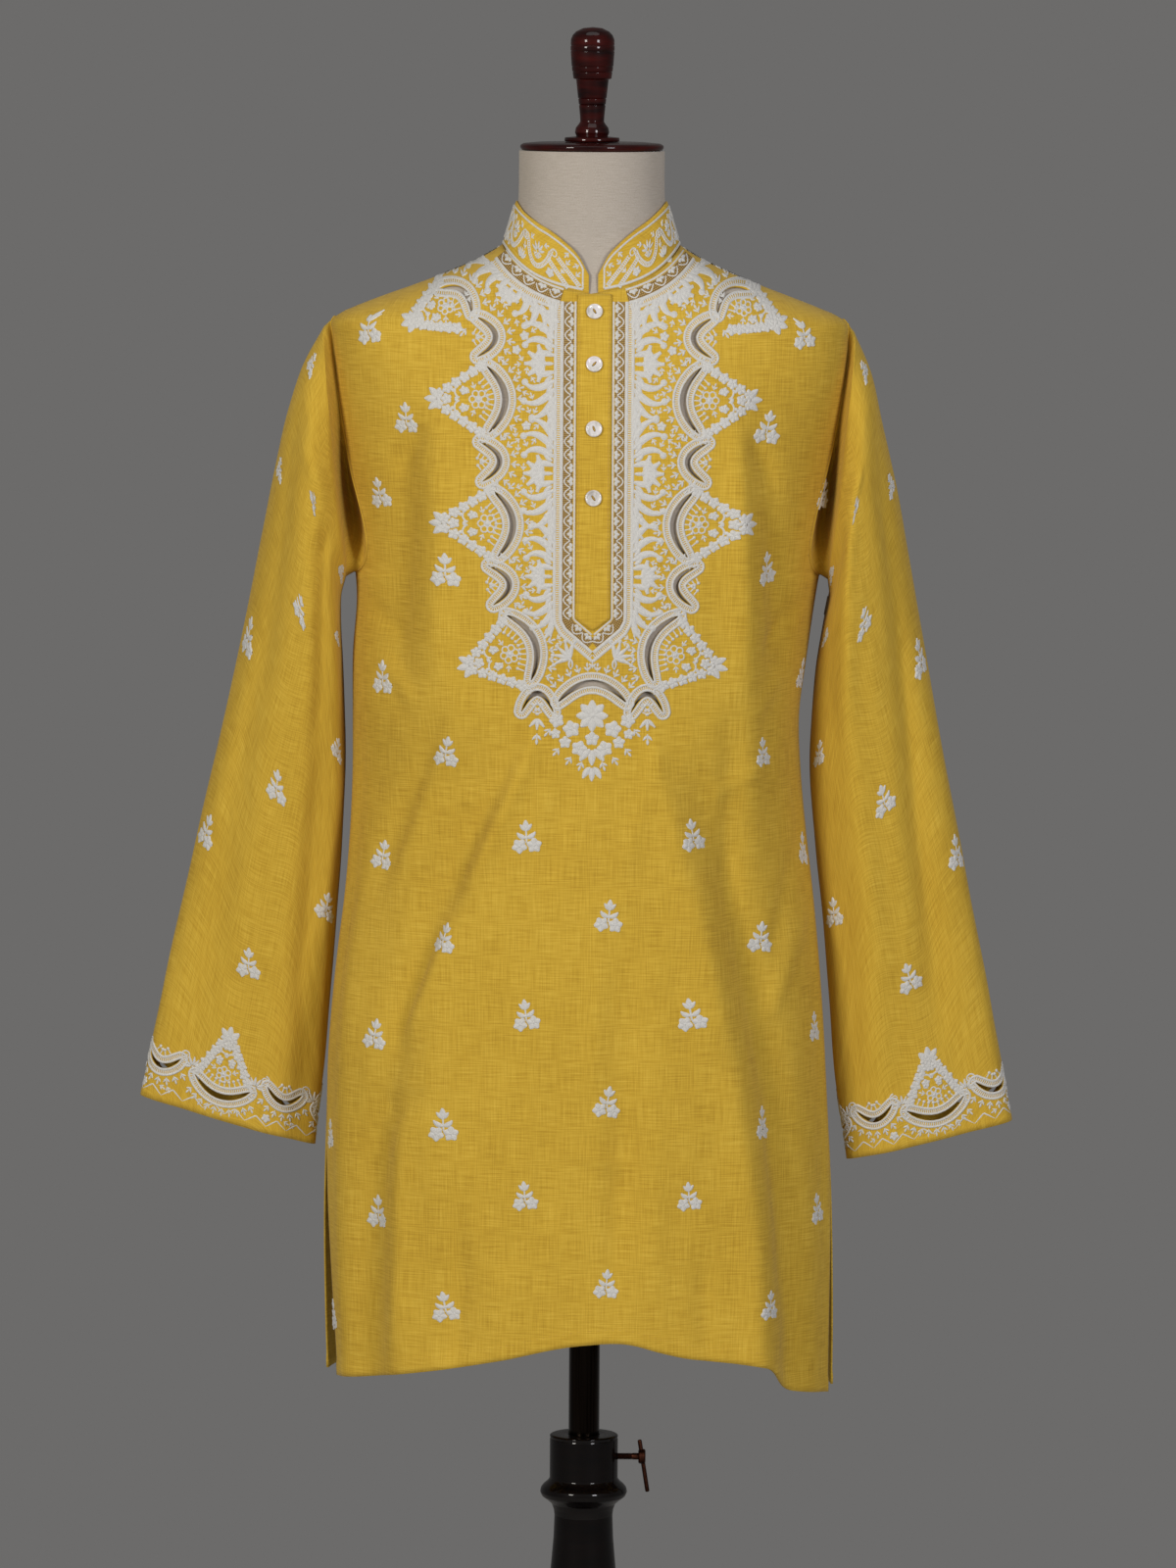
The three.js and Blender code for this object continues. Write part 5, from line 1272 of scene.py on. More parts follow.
    @staticmethod
    def round_slot(slot, offset):
        """A closed path round a slot, at a distance from its edge."""
        line, half, _ = slot
        ahead = np.gradient(line, axis=0)
        ahead /= np.linalg.norm(ahead, axis=1, keepdims=True)
        left = np.stack([-ahead[:, 1], ahead[:, 0]], -1)
        reach = (half + offset)[:, None]
        ends = []
        turns = np.linspace(0, math.pi, 7)[1:-1, None]
        for end, way in ((-1, 1), (0, -1)):
            bend = left[end] * np.cos(turns) + ahead[end] * np.sin(turns)
            ends.append(line[end] + reach[end] * way * bend)
        return np.concatenate([line + left * reach, ends[0], (line - left * reach)[::-1], ends[1]])

    def add_copy(self, other, change):
        """Take in another pattern, with its flat points changed, and turned over if the change mirrors it."""
        for points, uv in zip(other.points, other.uvs):
            moved = points.copy()
            moved[:, :2] = change(points[:, :2])
            self.points.append(moved)
            self.uvs.append(uv)
        probe = change(np.array([[0.0, 0.0], [1.0, 0.0], [0.0, 1.0]]))
        a, b = probe[1] - probe[0], probe[2] - probe[0]
        mirrored = a[0] * b[1] - a[1] * b[0] < 0
        for faces in other.faces:
            self.faces.append((faces[:, ::-1] if mirrored else faces) + self.count)
        self.count += other.count

    def lay(self, name, place, flip=False, material=white_thread):
        """Turn the pattern into a mesh on the cloth."""
        points = np.concatenate(self.points)
        faces = np.concatenate(self.faces)
        laid = place(points[:, 0], points[:, 1], points[:, 2])
        turned_over = faces[:, ::-1] if flip else faces
        thing = make_object(name, laid, turned_over, np.concatenate(self.uvs), [material])
        print(name, "triangles:", 2 * len(faces))
        return thing


# %% [markdown]
# The yoke is built for one side and mirrored. From the placket outwards it has a narrow border of scallops
# and trefoils, a lane of running scrolls, the ladder-stitched scallops with their slots, and sprays that
# point away from the centre.

# %% The yoke's embroidery
def right_part(path):
    """The points on the right of the centre line, where the mirrored half meets this one."""
    return path[path[:, 0] >= 0]


def border(st, line, pitch=10.5):
    """Cord, scallops with trefoils, heavy cord and a row of rungs, on the left of a line."""
    st.ribbon(right_part(offset_line(line, 1.6)), 1.8, 0.7)
    st.ribbon(right_part(offset_line(line, 12.6)), 3.0, 0.8)
    st.rungs(right_part(offset_line(line, 15.2)), 1.5, 1.8)
    st.ribbon(right_part(offset_line(line, 17.8)), 2.8, 0.7)
    run = np.concatenate([[0], np.cumsum(np.linalg.norm(np.diff(line, axis=0), axis=1))])
    ahead = np.gradient(line, axis=0)
    ahead /= np.linalg.norm(ahead, axis=1, keepdims=True)
    count = int(run[-1] / pitch)
    for k in range(count):
        s = (k + 0.5) * run[-1] / count
        p = np.array([np.interp(s, run, line[:, i]) for i in (0, 1)])
        d = np.array([np.interp(s, run, ahead[:, i]) for i in (0, 1)])
        left = np.array([-d[1], d[0]])
        if (p + left * 6)[0] < 1.5:
            continue
        t = np.linspace(-1, 1, 9)[:, None]
        st.ribbon(p + d * pitch * 0.5 * t + left * (10 - 5 * t**2), 1.6, 0.65)
        for turn in (-1.2, 0, 1.2):
            out = left * math.cos(turn) + d * math.sin(turn)
            st.leaf(p + left * 3.6 + out * 0.2, p + left * 3.6 + out * 4.0, 3.2)


def spray(st, foot, direction, length, base, eye=9.0):
    """A triangle: two arms of small flowers meet in a bud, round an open flower and two curled vines."""
    foot = np.asarray(foot, float)
    d = np.array([math.cos(direction), math.sin(direction)])
    side = np.array([-d[1], d[0]])

    def at(along, off):
        return foot + d * length * along + side * base * off

    for sign in (-1, 1):
        for k in range(6):
            share = k / 5
            p = at(0.06 + 0.74 * share, sign * (0.5 - 0.42 * share))
            st.flower(p, 5.1 - 0.6 * share, 5, 1.1 * k + direction)
        middle = at(0.4, sign * 0.12)
        t = np.linspace(-1.3, 1.5, 9)
        reach = length * 0.12
        vine = middle + reach * (np.cos(t)[:, None] * d + sign * np.sin(t)[:, None] * side)
        st.ribbon(vine, 1.8, 0.65)
        for k in (1, 4, 7):
            st.leaf(vine[k], vine[k] + (vine[k] - middle) * 0.6, 3.2)
        st.flower(at(0.36, sign * 0.13), 3.8, 5, direction)
        st.twig(at(-0.1, sign * 0.58), 5.4, direction + sign * 0.5)
    if eye:
        st.open_flower(at(0.1, 0), eye, 6, direction)
        for turn in (-1.2, -0.6, 0.6, 1.2):
            ray = math.cos(turn) * d + math.sin(turn) * side
            st.twig(at(0.1, 0) + ray * (eye + 1.5), 4.0, direction + turn)
    st.flower(at(0.66, 0), 4.6, 5, direction)
    st.fan(at(0.8, 0), length * 0.24, direction, 3, 1.7, 6.0)
    st.dot(at(0.8, 0), 2.0)


print("border repeats down the placket:", round((1497 - PLACKET_SHOULDER_Z) / 10.5))

# %% [markdown]
# With those parts the half yoke is drawn in its order: the borders, a band round every slot, foliage in the
# bays, rays and sprays outside the bands, the point below the placket, and small filling last of all,
# because it looks for ground that is still bare.

# %% The yoke put together
def right_edge(z):
    """The inner limit of the slots' bands, from the centre line."""
    return float(yoke_edge(z)) - 21


x = PLACKET_WIDTH / 2
tip_z = PLACKET_SHOULDER_Z - PLACKET_POINT - 2
past = 1.4 * (PLACKET_SHOULDER_Z - tip_z)
beside_placket = resample([(x, 1497), (x, PLACKET_SHOULDER_Z), (0, tip_z), (-1.4 * x, tip_z - past)], 1.6)
neck_x = np.linspace(25, 72, 40)
round_neck = resample(np.stack([neck_x, neckline["z"](neck_x)], -1)[::-1], 1.6)
half_ground = Stitches()
for line in (beside_placket, round_neck):
    half_ground.ribbon(right_part(offset_line(line, 7.1)), 9.0, 0.2)


def half_yoke():
    st = Stitches()
    border(st, beside_placket)
    border(st, round_neck)
    slots = half_slots()
    for k, slot in enumerate(slots):
        st.slot_band(slot, 0.03 * (k % 3))
    for z, reach in ((1447, 1.05), (1358, 1.05), (1274, 0.95)):
        st.foliage(lambda out, along, z=z: np.array([33.5 + out, z + along]), reach)
    lean = math.radians(-52)
    across = np.array([math.cos(lean), math.sin(lean)])
    along_neck = np.array([-math.sin(lean), math.cos(lean)])
    st.foliage(lambda out, along: np.array([66, 1510]) + across * out + along_neck * along, 0.8)
    for k, slot in enumerate(slots[:-1]):
        curl = k % 2 == 1
        st.twigs(slot, -1, 5.0)
        st.rays(slot, 1, 3.6 if curl else 4.6, 3.4 if curl else 4.3)
    st.rays(slots[-1], -1, 3.0, 3.4)
    for k in range(SCALLOPS):
        middle = FIRST_CURL_Z - (k + 0.5) * SCALLOP_PITCH
        tilt = -0.3 if k == SCALLOPS - 1 else 0.0
        spray(st, (float(yoke_edge(middle)) + 3, middle + 14 * tilt), tilt, 47, 54, 7.6)
    spray(st, (119, 1494), -0.42, 42, 40, 6.5)
    for turn in np.linspace(0.1, 1.9, 5):
        st.frond((18, 1207), turn - 0.3, 15, (turn - 0.9) * 0.8, 3.8)
    st.frond((18, 1207), -1.2, 9, -1.4, 2.0)
    st.frond((18, 1207), -2.0, 9, 1.4, 2.0)
    for turn in (-2.3, -1.57, -0.8):
        st.frond((45, 1157), turn, 9, 0, 3.4, False)
    st.twig((45, 1145), 6, -math.pi / 2)
    for x, z, r in ((17, 1149, 7.2), (10.5, 1133, 6.6), (29, 1156, 6.2), (22, 1138, 5.2), (30, 1145, 4.4)):
        st.flower((x, z), r, 5, x * 0.3)
    for x, z, turn in ((34, 1149, -0.9), (27, 1133, -0.9), (17, 1126, -1.0), (8, 1122, -1.2)):
        st.twig((x, z), 5.4, turn)
    st.fill(((31, 1232), (70, 1500)), 4.4, lambda x, z: x < right_edge(z) + 3)
    st.fill(
        ((60, 1478), (128, 1536)), 4.6,
        lambda x, z: z < 1540 - 0.36 * (x - 60) and z > 1478 + 0.15 * (x - 60),
    )
    st.fill(
        ((3, 1180), (50, 1232)), 4.6,
        lambda x, z: x < right_edge(z) + 6 and z > 1193 - 0.1 * x and x > 1244 - z,
    )
    return st


yoke = Stitches()
side_pattern = half_yoke()
yoke.add_copy(side_pattern, lambda p: p + np.array([CENTRE_X, 0]))
yoke.add_copy(side_pattern, lambda p: p * np.array([-1, 1]) + np.array([CENTRE_X, 0]))
foot_slot = yoke_slots()[-1]
yoke.slot_band(foot_slot, 0.05)
yoke.twigs(foot_slot, 1, 5.0)
yoke.flower((CENTRE_X, 1160), 13, 8)
yoke.open_flower((CENTRE_X, 1160), 5.4, 6)
yoke.flower((CENTRE_X, 1141), 6.0, 5, 0.3)
yoke.fan((CENTRE_X, 1134), 15, -math.pi / 2, 3, 1.4, 6.4)
yoke.fan((CENTRE_X, 1119), 13, -math.pi / 2, 3, 1.2, 5.4)
yoke.twig((CENTRE_X, 1199), 5, math.pi / 2)
yoke_stitching = yoke.lay("yoke_embroidery", over_front)
ground = Stitches()
ground.add_copy(half_ground, lambda p: p + np.array([CENTRE_X, 0]))
ground.add_copy(half_ground, lambda p: p * np.array([-1, 1]) + np.array([CENTRE_X, 0]))
border_ground = ground.lay("border_ground", over_front, material=net_ground)

# %% [markdown]
# Small sprigs are scattered over the whole garment in a half-drop repeat, the usual way to spread one motif
# evenly: every second column starts half a step lower. Columns are measured along the cloth, so the sprigs
# keep their spacing round the side. Each is placed on its own patch of the surface.

# %% Sprigs on the body and sleeves
def sprig(turn=0.0, size=1.0):
    st = Stitches()
    st.leaf((0, 4.5), (0, 13), 5.0)
    st.leaf((0, 4.5), (-4.6, 9.6), 3.6)
    st.leaf((0, 4.5), (4.6, 9.6), 3.6)
    st.leaf((0, -1), (-7.0, 3.4), 4.2, 0.14)
    st.leaf((0, -1), (7.0, 3.4), 4.2, -0.14)
    st.ribbon([(0, -5), (0, 0), (0, 5)], 1.6, 0.6)
    st.flower((-5.6, -7.2), 5.9, 5, 0.9)
    st.flower((5.6, -7.2), 5.9, 5, 0.3)
    c, s = math.cos(turn) * size, math.sin(turn) * size
    turned = Stitches()
    turned.add_copy(st, lambda p: p @ np.array([[c, s], [-s, c]]))
    return turned


def scatter(name, spots, surface, mirrored=False):
    """Lay one sprig at each spot; surface gives the map from mm round and mm up near a spot to the cloth."""
    points, uvs, faces, count = [], [], [], 0
    for k, spot in enumerate(spots):
        st = sprig(0.16 * math.sin(7.3 * k + 1), 1.0 + 0.07 * math.sin(4.1 * k))
        flat = np.concatenate(st.points)
        points.append(surface(spot, flat[:, 0], flat[:, 1], flat[:, 2]))
        uvs.append(np.concatenate(st.uvs))
        here = np.concatenate(st.faces) + count
        faces.append(here[:, ::-1] if mirrored else here)
        count += len(flat)
    thing = make_object(
        name, np.concatenate(points), np.concatenate(faces), np.concatenate(uvs), [white_thread]
    )
    print(name, len(spots), "sprigs, triangles:", 2 * len(thing.data.polygons))
    return thing


RING = np.linspace(0, 2 * math.pi, 1441)


def near_body(spot, u, v, out):
    s, z = spot
    around = path_lengths(body_point(RING, z, False), 0)
    angle = np.interp((s + u) % around[-1], around, RING)
    return over_body(angle, z + v, out)


def body_spots(columns, keep):
    """Half-drop rows of places, column by column from the centre front; keep says which are free."""
    spots = []
    for k in columns:
        s = 18 + 68 * k
        for j in range(-4, 4):
            drop = 11 * abs(k) if abs(k) < 5 else 0
            z = 995 - drop + 151 * j + (76.5 if k % 2 else 0) + 4 * math.sin(3.0 * k + j)
            around = path_lengths(body_point(RING, z, False), 0)
            angle = float(np.interp(s % around[-1], around, RING))
            if keep(angle, z):
                spots.append((s, z))
    return spots


def free_on_front(angle, z):
    angle = (angle + math.pi) % (2 * math.pi) - math.pi
    x = abs(float(body_point(angle, z, False)[0]))
    if abs(angle) > math.radians(80) or not float(front_hem(math.degrees(angle))) + 24 < z < 1480:
        return False
    return z < 1085 or x > (100 if z < 1285 else 165)


def free_on_back(angle, z):
    off = abs(angle - math.pi)
    if off > math.radians(82) or not float(back_hem(math.degrees(angle))) + 24 < z < 1500:
        return False
    return z < 1260 or off < math.radians(62)


front_spots = body_spots(range(-4, 5), free_on_front)
for x, z in ((-184, 1474), (176, 1471), (-152, 1401), (147, 1395)):
    angle = float(front_angle(np.array(float(x)), z))
    around = path_lengths(body_point(RING, z, False), 0)
    front_spots.append((float(np.interp(angle % (2 * math.pi), RING, around)), z))
back_spots = body_spots(range(5, 15), free_on_back)
front_sprigs = scatter("front_sprigs", front_spots, near_body)
back_sprigs = scatter("back_sprigs", back_spots, near_body)


def near_sleeve(side):
    def place(spot, u, v, out):
        turn, row = spot
        ring = path_lengths(sleeve_point(side, row, RING), 0)
        s = np.interp(turn % (2 * math.pi), RING, ring)
        sign = 1 if side == "left" else -1
        here = np.interp((s + sign * u) % ring[-1], ring, RING)
        return over_sleeve(side, row - v / ROW_LENGTH, here, out)

    return place


sleeve_sprigs = {}
for side in ("left", "right"):
    spots = []
    for k in range(6):
        for j in range(5):
            row = 1.55 + 2.1 * j + (1.05 if k % 2 else 0) + 0.12 * math.sin(5 * k + j)
            if 1.2 < row < 9.6:
                spots.append((math.radians(28 + 60 * k), row))
    sleeve_sprigs[side] = scatter(f"sleeve_sprigs_{side}", spots, near_sleeve(side), side == "right")

# %% [markdown]
# The cuffs repeat the yoke's bands and sprays on a smaller scale, and a zigzag of stem stitch runs along
# the edge. The collar carries slanting ladder bands with flowers between them and a cord round its edge.

# %% Cuff and collar embroidery
def cuff_pattern(girth):
    st = Stitches()
    pitch = girth / CUFF_REPEATS
    steps = 12 * CUFF_REPEATS
    zigzag = [((k - 0.5) * girth / steps, 9.5 + 3.5 * (-1) ** k) for k in range(steps + 2)]
    st.ribbon(resample(zigzag, 1.4), 1.4, 0.6)
    slots = cuff_slots(girth)
    for k, slot in enumerate(slots):
        st.slot_band(slot, 0.03 * (k % 2))
        st.rays(slot, 1, 3.4)
        st.twigs(slot, -1, 4.6, 6.2)
    for k in range(CUFF_REPEATS):
        arc, curl = (k + 0.66) * pitch, (k + 0.16) * pitch
        spray(st, (arc, 35), math.pi / 2, 44, 44, 6.5)
        for sign in (-1, 1):
            st.fan((arc + sign * 29, 37), 9, math.pi / 2 - sign * 0.5, 5, 2.2, 2.6)
            st.twig((arc + sign * 27, 23), 4.6, math.pi / 2)
            st.scroll((curl + sign * 19, 45), 4.0, 0.5 - sign, sign * 1.2)
        st.fill(((curl - 20, 13), (curl + 20, 24)), 6.0, lambda x, z: True)
    return st


cuff_stitching = {}
for side in ("left", "right"):
    girth, place = cuffs[side]
    cuff_stitching[side] = cuff_pattern(girth).lay(f"cuff_embroidery_{side}", place, side == "right")

seam_angles = np.linspace(collar_start, collar_end, 1601)
seam_path = body_point(seam_angles, neck_z(seam_angles), False)
seam_run = path_lengths(seam_path, 0)


def on_collar(s, height, out=0.0):
    angle = np.interp(s, seam_run, seam_angles)
    return over_collar(angle, height, np.asarray(out) + 0.1)


def rise_at(s):
    return collar_rise(np.interp(s, seam_run, seam_angles))


def ladder(st, line, half=1.5):
    """Two fine cords with rungs between them."""
    for sign in (-1, 1):
        st.ribbon(offset_line(line, sign * half), 1.2, 0.65)
    st.rungs(line, half, 1.7, 0.5)


def half_collar(length):
    st = Stitches()
    along = np.linspace(5.2, length, 150)
    top_cord = np.stack([along, rise_at(along) - 4.2], -1)
    foot_cord = np.stack([along, np.full(len(along), 2.4)], -1)
    st.ribbon(top_cord, 1.8, 0.7)
    st.ribbon(foot_cord, 2.2, 0.7)
    st.ribbon(np.linspace(foot_cord[0], top_cord[0], 8), 1.6, 0.65)
    t = np.linspace(0, 1, 25)
    slope = np.stack([8 + 20 * t, 4 + 19 * t**0.9], -1)
    for shift in (0, 9.5):
        ladder(st, slope + np.array([shift, -0.35 * shift]))
    for k in range(5):
        start = 35 + 37 * k
        cup = np.stack([start + 27 * t, 25 - 15.5 * np.sin(math.pi * t) ** 0.7], -1)
        ladder(st, cup)
        ladder(st, offset_line(cup, 7.2)[4:-4])
        st.scroll(cup[0] + np.array([-3.4, 0]), 3.6, 0, 1.2)
        st.scroll(cup[-1] + np.array([3.4, 0]), 3.6, math.pi, -1.2)
        st.fan((start + 13.5, 21), 7.5, math.pi / 2, 5, 2.6, 2.4)
        st.fan((start + 32.5, 6), 8.5, math.pi / 2, 5, 1.6, 2.4)
    st.fill(((10, 5), (length, 33)), 4.4, lambda x, z: 4.5 < z < float(rise_at(x)) - 6.5)
    return st


collar_pattern = Stitches()
collar_half = half_collar(float(seam_run[-1]) / 2)
collar_pattern.add_copy(collar_half, lambda p: p)
collar_pattern.add_copy(collar_half, lambda p: np.stack([seam_run[-1] - p[:, 0], p[:, 1]], -1))
collar_stitching = collar_pattern.lay("collar_embroidery", on_collar)

# %% [markdown]
# Topstitching is what tells the eye that a garment is sewn: small thread dashes along the placket's edge
# and over the hems.

# %% Topstitching
def dashes(name, runs):
    """Short raised stitches along flat paths, each path with the function that lays it on the cloth."""
    points, faces, count = [], [], 0
    for path, place in runs:
        run = np.concatenate([[0], np.cumsum(np.linalg.norm(np.diff(path, axis=0), axis=1))])
        for s in np.arange(1.0, run[-1] - 1, 3.1):
            ends = np.array([[np.interp(s + e, run, path[:, i]) for i in (0, 1)] for e in (-1.05, 0, 1.05)])
            ahead = ends[2] - ends[0]
            side = np.array([-ahead[1], ahead[0]]) / max(np.linalg.norm(ahead), 1e-6) * 0.28
            flat = np.concatenate([ends - side, ends, ends + side])
            out = np.array([-0.05, 0.05, -0.05, 0.02, 0.3, 0.02, -0.05, 0.05, -0.05]) + 0.05
            points.append(place(flat[:, 0], flat[:, 1], out))
            faces.append(grid_faces(3, 3, count)[:, ::-1])
            count += 9
    return make_object(name, np.concatenate(points), np.concatenate(faces), None, [yellow_thread])


inset = PLACKET_WIDTH / 2 - 2
stitch_top, stitch_corner = 1499, PLACKET_SHOULDER_Z + 0.5
placket_path = np.array([
    (CENTRE_X - inset, stitch_top), (CENTRE_X - inset, stitch_corner), (CENTRE_X, PLACKET_SHOULDER_Z - 7.5),
    (CENTRE_X + inset, stitch_corner), (CENTRE_X + inset, stitch_top),
])
hem_degrees = np.linspace(-78, 78, 240)
hem_path = np.stack([hem_degrees * 2.3, front_hem(hem_degrees) + HEM_TURNING - 1.5], -1)
back_degrees = np.linspace(-84, 84, 240)
back_path = np.stack([back_degrees * 2.3, back_hem(180 - back_degrees) + HEM_TURNING - 1.5], -1)
topstitching = dashes(
    "topstitching",
    (
        (resample(placket_path, 1.0), lambda x, z, out: over_front(x, z, out + SEAM_GAP + CLOTH)),
        (hem_path, lambda a, z, out: over_body(np.radians(a / 2.3), z, out)),
        (back_path, lambda a, z, out: over_body(math.pi - np.radians(a / 2.3), z, out)),
    ),
)

# %% [markdown]
# Where a sleeve is sewn in, the turned-in edges make a low round ridge. A thin closed tube along the
# armhole gives that ridge and closes the small gap between the two cloths.

# %% Armhole seams
SEAM_RADIUS = 1.0


def seam_ridge(name, path, radius):
    """A closed tube round a closed path."""
    n, m = len(path), 6
    ahead = np.roll(path, -1, 0) - np.roll(path, 1, 0)
    ahead /= np.linalg.norm(ahead, axis=1, keepdims=True)
    across = np.cross(ahead, [1.0, 0, 0])
    across /= np.linalg.norm(across, axis=1, keepdims=True)
    lift = np.cross(across, ahead)
    a = np.arange(m)[:, None] * 2 * math.pi / m
    ring = radius * (np.cos(a) * across[:, None] + np.sin(a) * lift[:, None])
    i, j = np.arange(n)[:, None], np.arange(m)
    after, beside = (i + 1) % n, (j + 1) % m
    faces = np.stack([i * m + j, after * m + j, after * m + beside, i * m + beside], -1).reshape(-1, 4)
    points = (path[:, None] + ring).reshape(-1, 3)
    if volume(points, faces) < 0:
        faces = faces[:, ::-1]
    run = np.repeat(np.arange(n) * 4.0, m)
    return make_object(name, points, faces, np.stack([run, np.tile(np.arange(m), n)], -1) * MM, [linen])


seam_turns = np.linspace(-math.pi, math.pi, 181)[:-1]
armhole_seams = {}
for side, sign in (("left", -1), ("right", 1)):
    path = armhole_point(sign, seam_turns) + np.array([sign * SEAM_GAP / 2, 0, 0])
    armhole_seams[side] = seam_ridge(f"armhole_seam_{side}", path, SEAM_RADIUS)
    print(side, "armhole seam", round(float(path_lengths(path, 0)[-1])), "mm round")

# %% [markdown]
# Turned things, from buttons to the stand, are profiles spun round an axis. A profile is a list of radius
# and height; a little rounding at every edge catches the light.

# %% Turned pieces
def turned(name, profile, materials, segments=72):
    """Spin a profile round +Z."""
    profile = np.array(profile, float)
    turns = np.linspace(0, 2 * math.pi, segments, endpoint=False)
    ring = np.stack([np.cos(turns), np.sin(turns)], -1)
    heights = np.broadcast_to(profile[:, None, 1:], (len(profile), segments, 1))
    points = np.concatenate([profile[:, None, :1] * ring[None], heights], -1)
    faces = grid_faces(len(profile), segments, 0, True)[:, ::-1]
    steps = np.concatenate([[0], np.hypot(*np.diff(profile, axis=0).T)])
    u = np.broadcast_to(turns[None, :] * 0.03, points.shape[:2])
    v = np.broadcast_to(np.cumsum(steps)[:, None] * MM, u.shape)
    uv = np.stack([u, v], -1).reshape(-1, 2)
    thing = make_object(name, points.reshape(-1, 3), faces, uv, materials)
    thing.data.set_sharp_from_angle(angle=math.radians(40))
    return thing


def rounded(profile, radius=0.8):
    """Cut each inner corner of a profile into a short bevel."""
    p = np.array(profile, float)
    result = [p[0]]
    for a, b, c in zip(p[:-2], p[1:-1], p[2:]):
        reach = min(radius, np.linalg.norm(b - a) / 3, np.linalg.norm(c - b) / 3)
        first = b + (a - b) / max(np.linalg.norm(a - b), 1e-6) * reach
        last = b + (c - b) / max(np.linalg.norm(c - b), 1e-6) * reach
        result += [first, (first + last + 2 * b) / 4, last]
    return np.array(result + [p[-1]])


TINY = 0.02
CAP = (
    (TINY, 1619.3), (58.1, 1619.3), (59.6, 1621.3), (59.6, 1623.4), (57, 1625), (46, 1626), (TINY, 1626),
)
FINIAL = (
    (TINY, 1626.3), (22, 1626.3), (23, 1627.5), (22.6, 1629.9), (15, 1630.6), (13, 1630.9), (14.3, 1634),
    (13.6, 1638), (11.2, 1641), (9.9, 1643), (10.2, 1648), (11, 1656.4), (10.3, 1657), (11.2, 1657.6),
    (11.6, 1661.6), (11.1, 1662.2), (11.9, 1662.8), (13.4, 1676.8), (13.5, 1678), (15.8, 1678.6),
    (16.5, 1683.6), (16.1, 1684.2), (16.8, 1684.8), (17.2, 1688), (16.8, 1688.6), (17.4, 1689.2),
    (18.2, 1701), (17.8, 1701.6), (18.3, 1702.2), (18.3, 1705.4), (17.8, 1706), (18.2, 1706.6),
    (18.1, 1711), (16.6, 1714.6), (13.8, 1717.6), (8, 1720.4), (TINY, 1721.3),
)
POST = (
    (TINY, 26.3), (46, 26.3), (46, 40), (44, 44), (36, 50), (31, 58), (26.5, 70), (25, 84), (25, 130),
    (27.6, 175), (31, 220), (33.6, 270), (34, 300), (33.6, 335), (32.5, 370), (29.4, 405), (27, 431),
    (25.2, 452), (24.5, 471), (25.2, 476), (27, 481), (31, 484.4), (35.2, 487.5), (36.7, 491), (36, 494.4),
    (34, 497), (30.4, 500), (28.7, 502.5), (28.7, 536), (28.2, 537), (28.7, 538), (28.7, 539.2), (27.4, 540),
    (13.6, 540), (13.15, 539.4), (13.15, 500), (TINY, 499),
)
POLE = ((TINY, 285), (13, 285), (13, 814.7), (TINY, 814.7))
BASE = (
    (TINY, 0), (187, 0), (190, 3), (190, 12), (186, 16.6), (185, 17.2), (166, 20), (165, 21), (130, 26),
    (TINY, 26),
)
cap = turned("lacquered_cap", rounded(CAP), [red_lacquer])
finial = turned("lacquered_finial", rounded(FINIAL, 0.5), [red_lacquer], 64)
pole = turned("steel_pole", rounded(POLE), [dark_steel], 48)
post = turned("turned_post", rounded(POST, 0.7), [black_lacquer], 72)
base = turned("turned_base", rounded(BASE, 1.2), [black_lacquer], 128)
for thing, node, body_name, slot_name in (
    (cap, "neck_cap", "form", "polished_wood"),
    (finial, "finial", "form", "polished_wood"),
    (pole, "pole", "pole", "steel"),
    (post, "post", "stand", "black_wood"),
    (base, "base", "stand", "black_wood"),
):
    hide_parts(node)
    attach(thing, body_name)
print("turned pieces:", [thing.name for thing in (cap, finial, pole, post, base)])

# %% [markdown]
# The clamp is a thumbscrew with a sliding bar. The thread is cut as a fine row of ridges on its shank.

# %% Clamp screw
CLAMP_Z = 521
BAR_X = 50.4
thread_profile = [(TINY, 13.3), (2.8, 13.3)]
for k in range(27):
    thread_profile += [(2.8, 14 + k), (2.45, 14.5 + k)]
shank = thread_profile + [(2.8, 41.5), (2.8, 46), (5.2, 46), (6.2, 47), (6.2, 51), (5.2, 52), (TINY, 52)]
screw = turned("clamp_shank", shank, [rusted_steel], 32)
screw.data.transform(Matrix.Translation((0, 0, CLAMP_Z * MM)) @ Matrix.Rotation(math.pi / 2, 4, "Y"))
bar = turned(
    "clamp_bar",
    rounded([(TINY, -22.5), (1.3, -22.4), (1.8, -21.6), (1.8, 21.6), (1.3, 22.4), (TINY, 22.5)], 0.3),
    [rusted_steel], 24,
)
tilted = Matrix.Rotation(math.radians(-9), 4, "Y")
bar.data.transform(Matrix.Translation((BAR_X * MM, 0, (CLAMP_Z - 8) * MM)) @ tilted)
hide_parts("clamp_screw")
for thing in (screw, bar):
    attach(thing, "clamp")
print("thread ridges:", len(thread_profile) // 2 - 1)
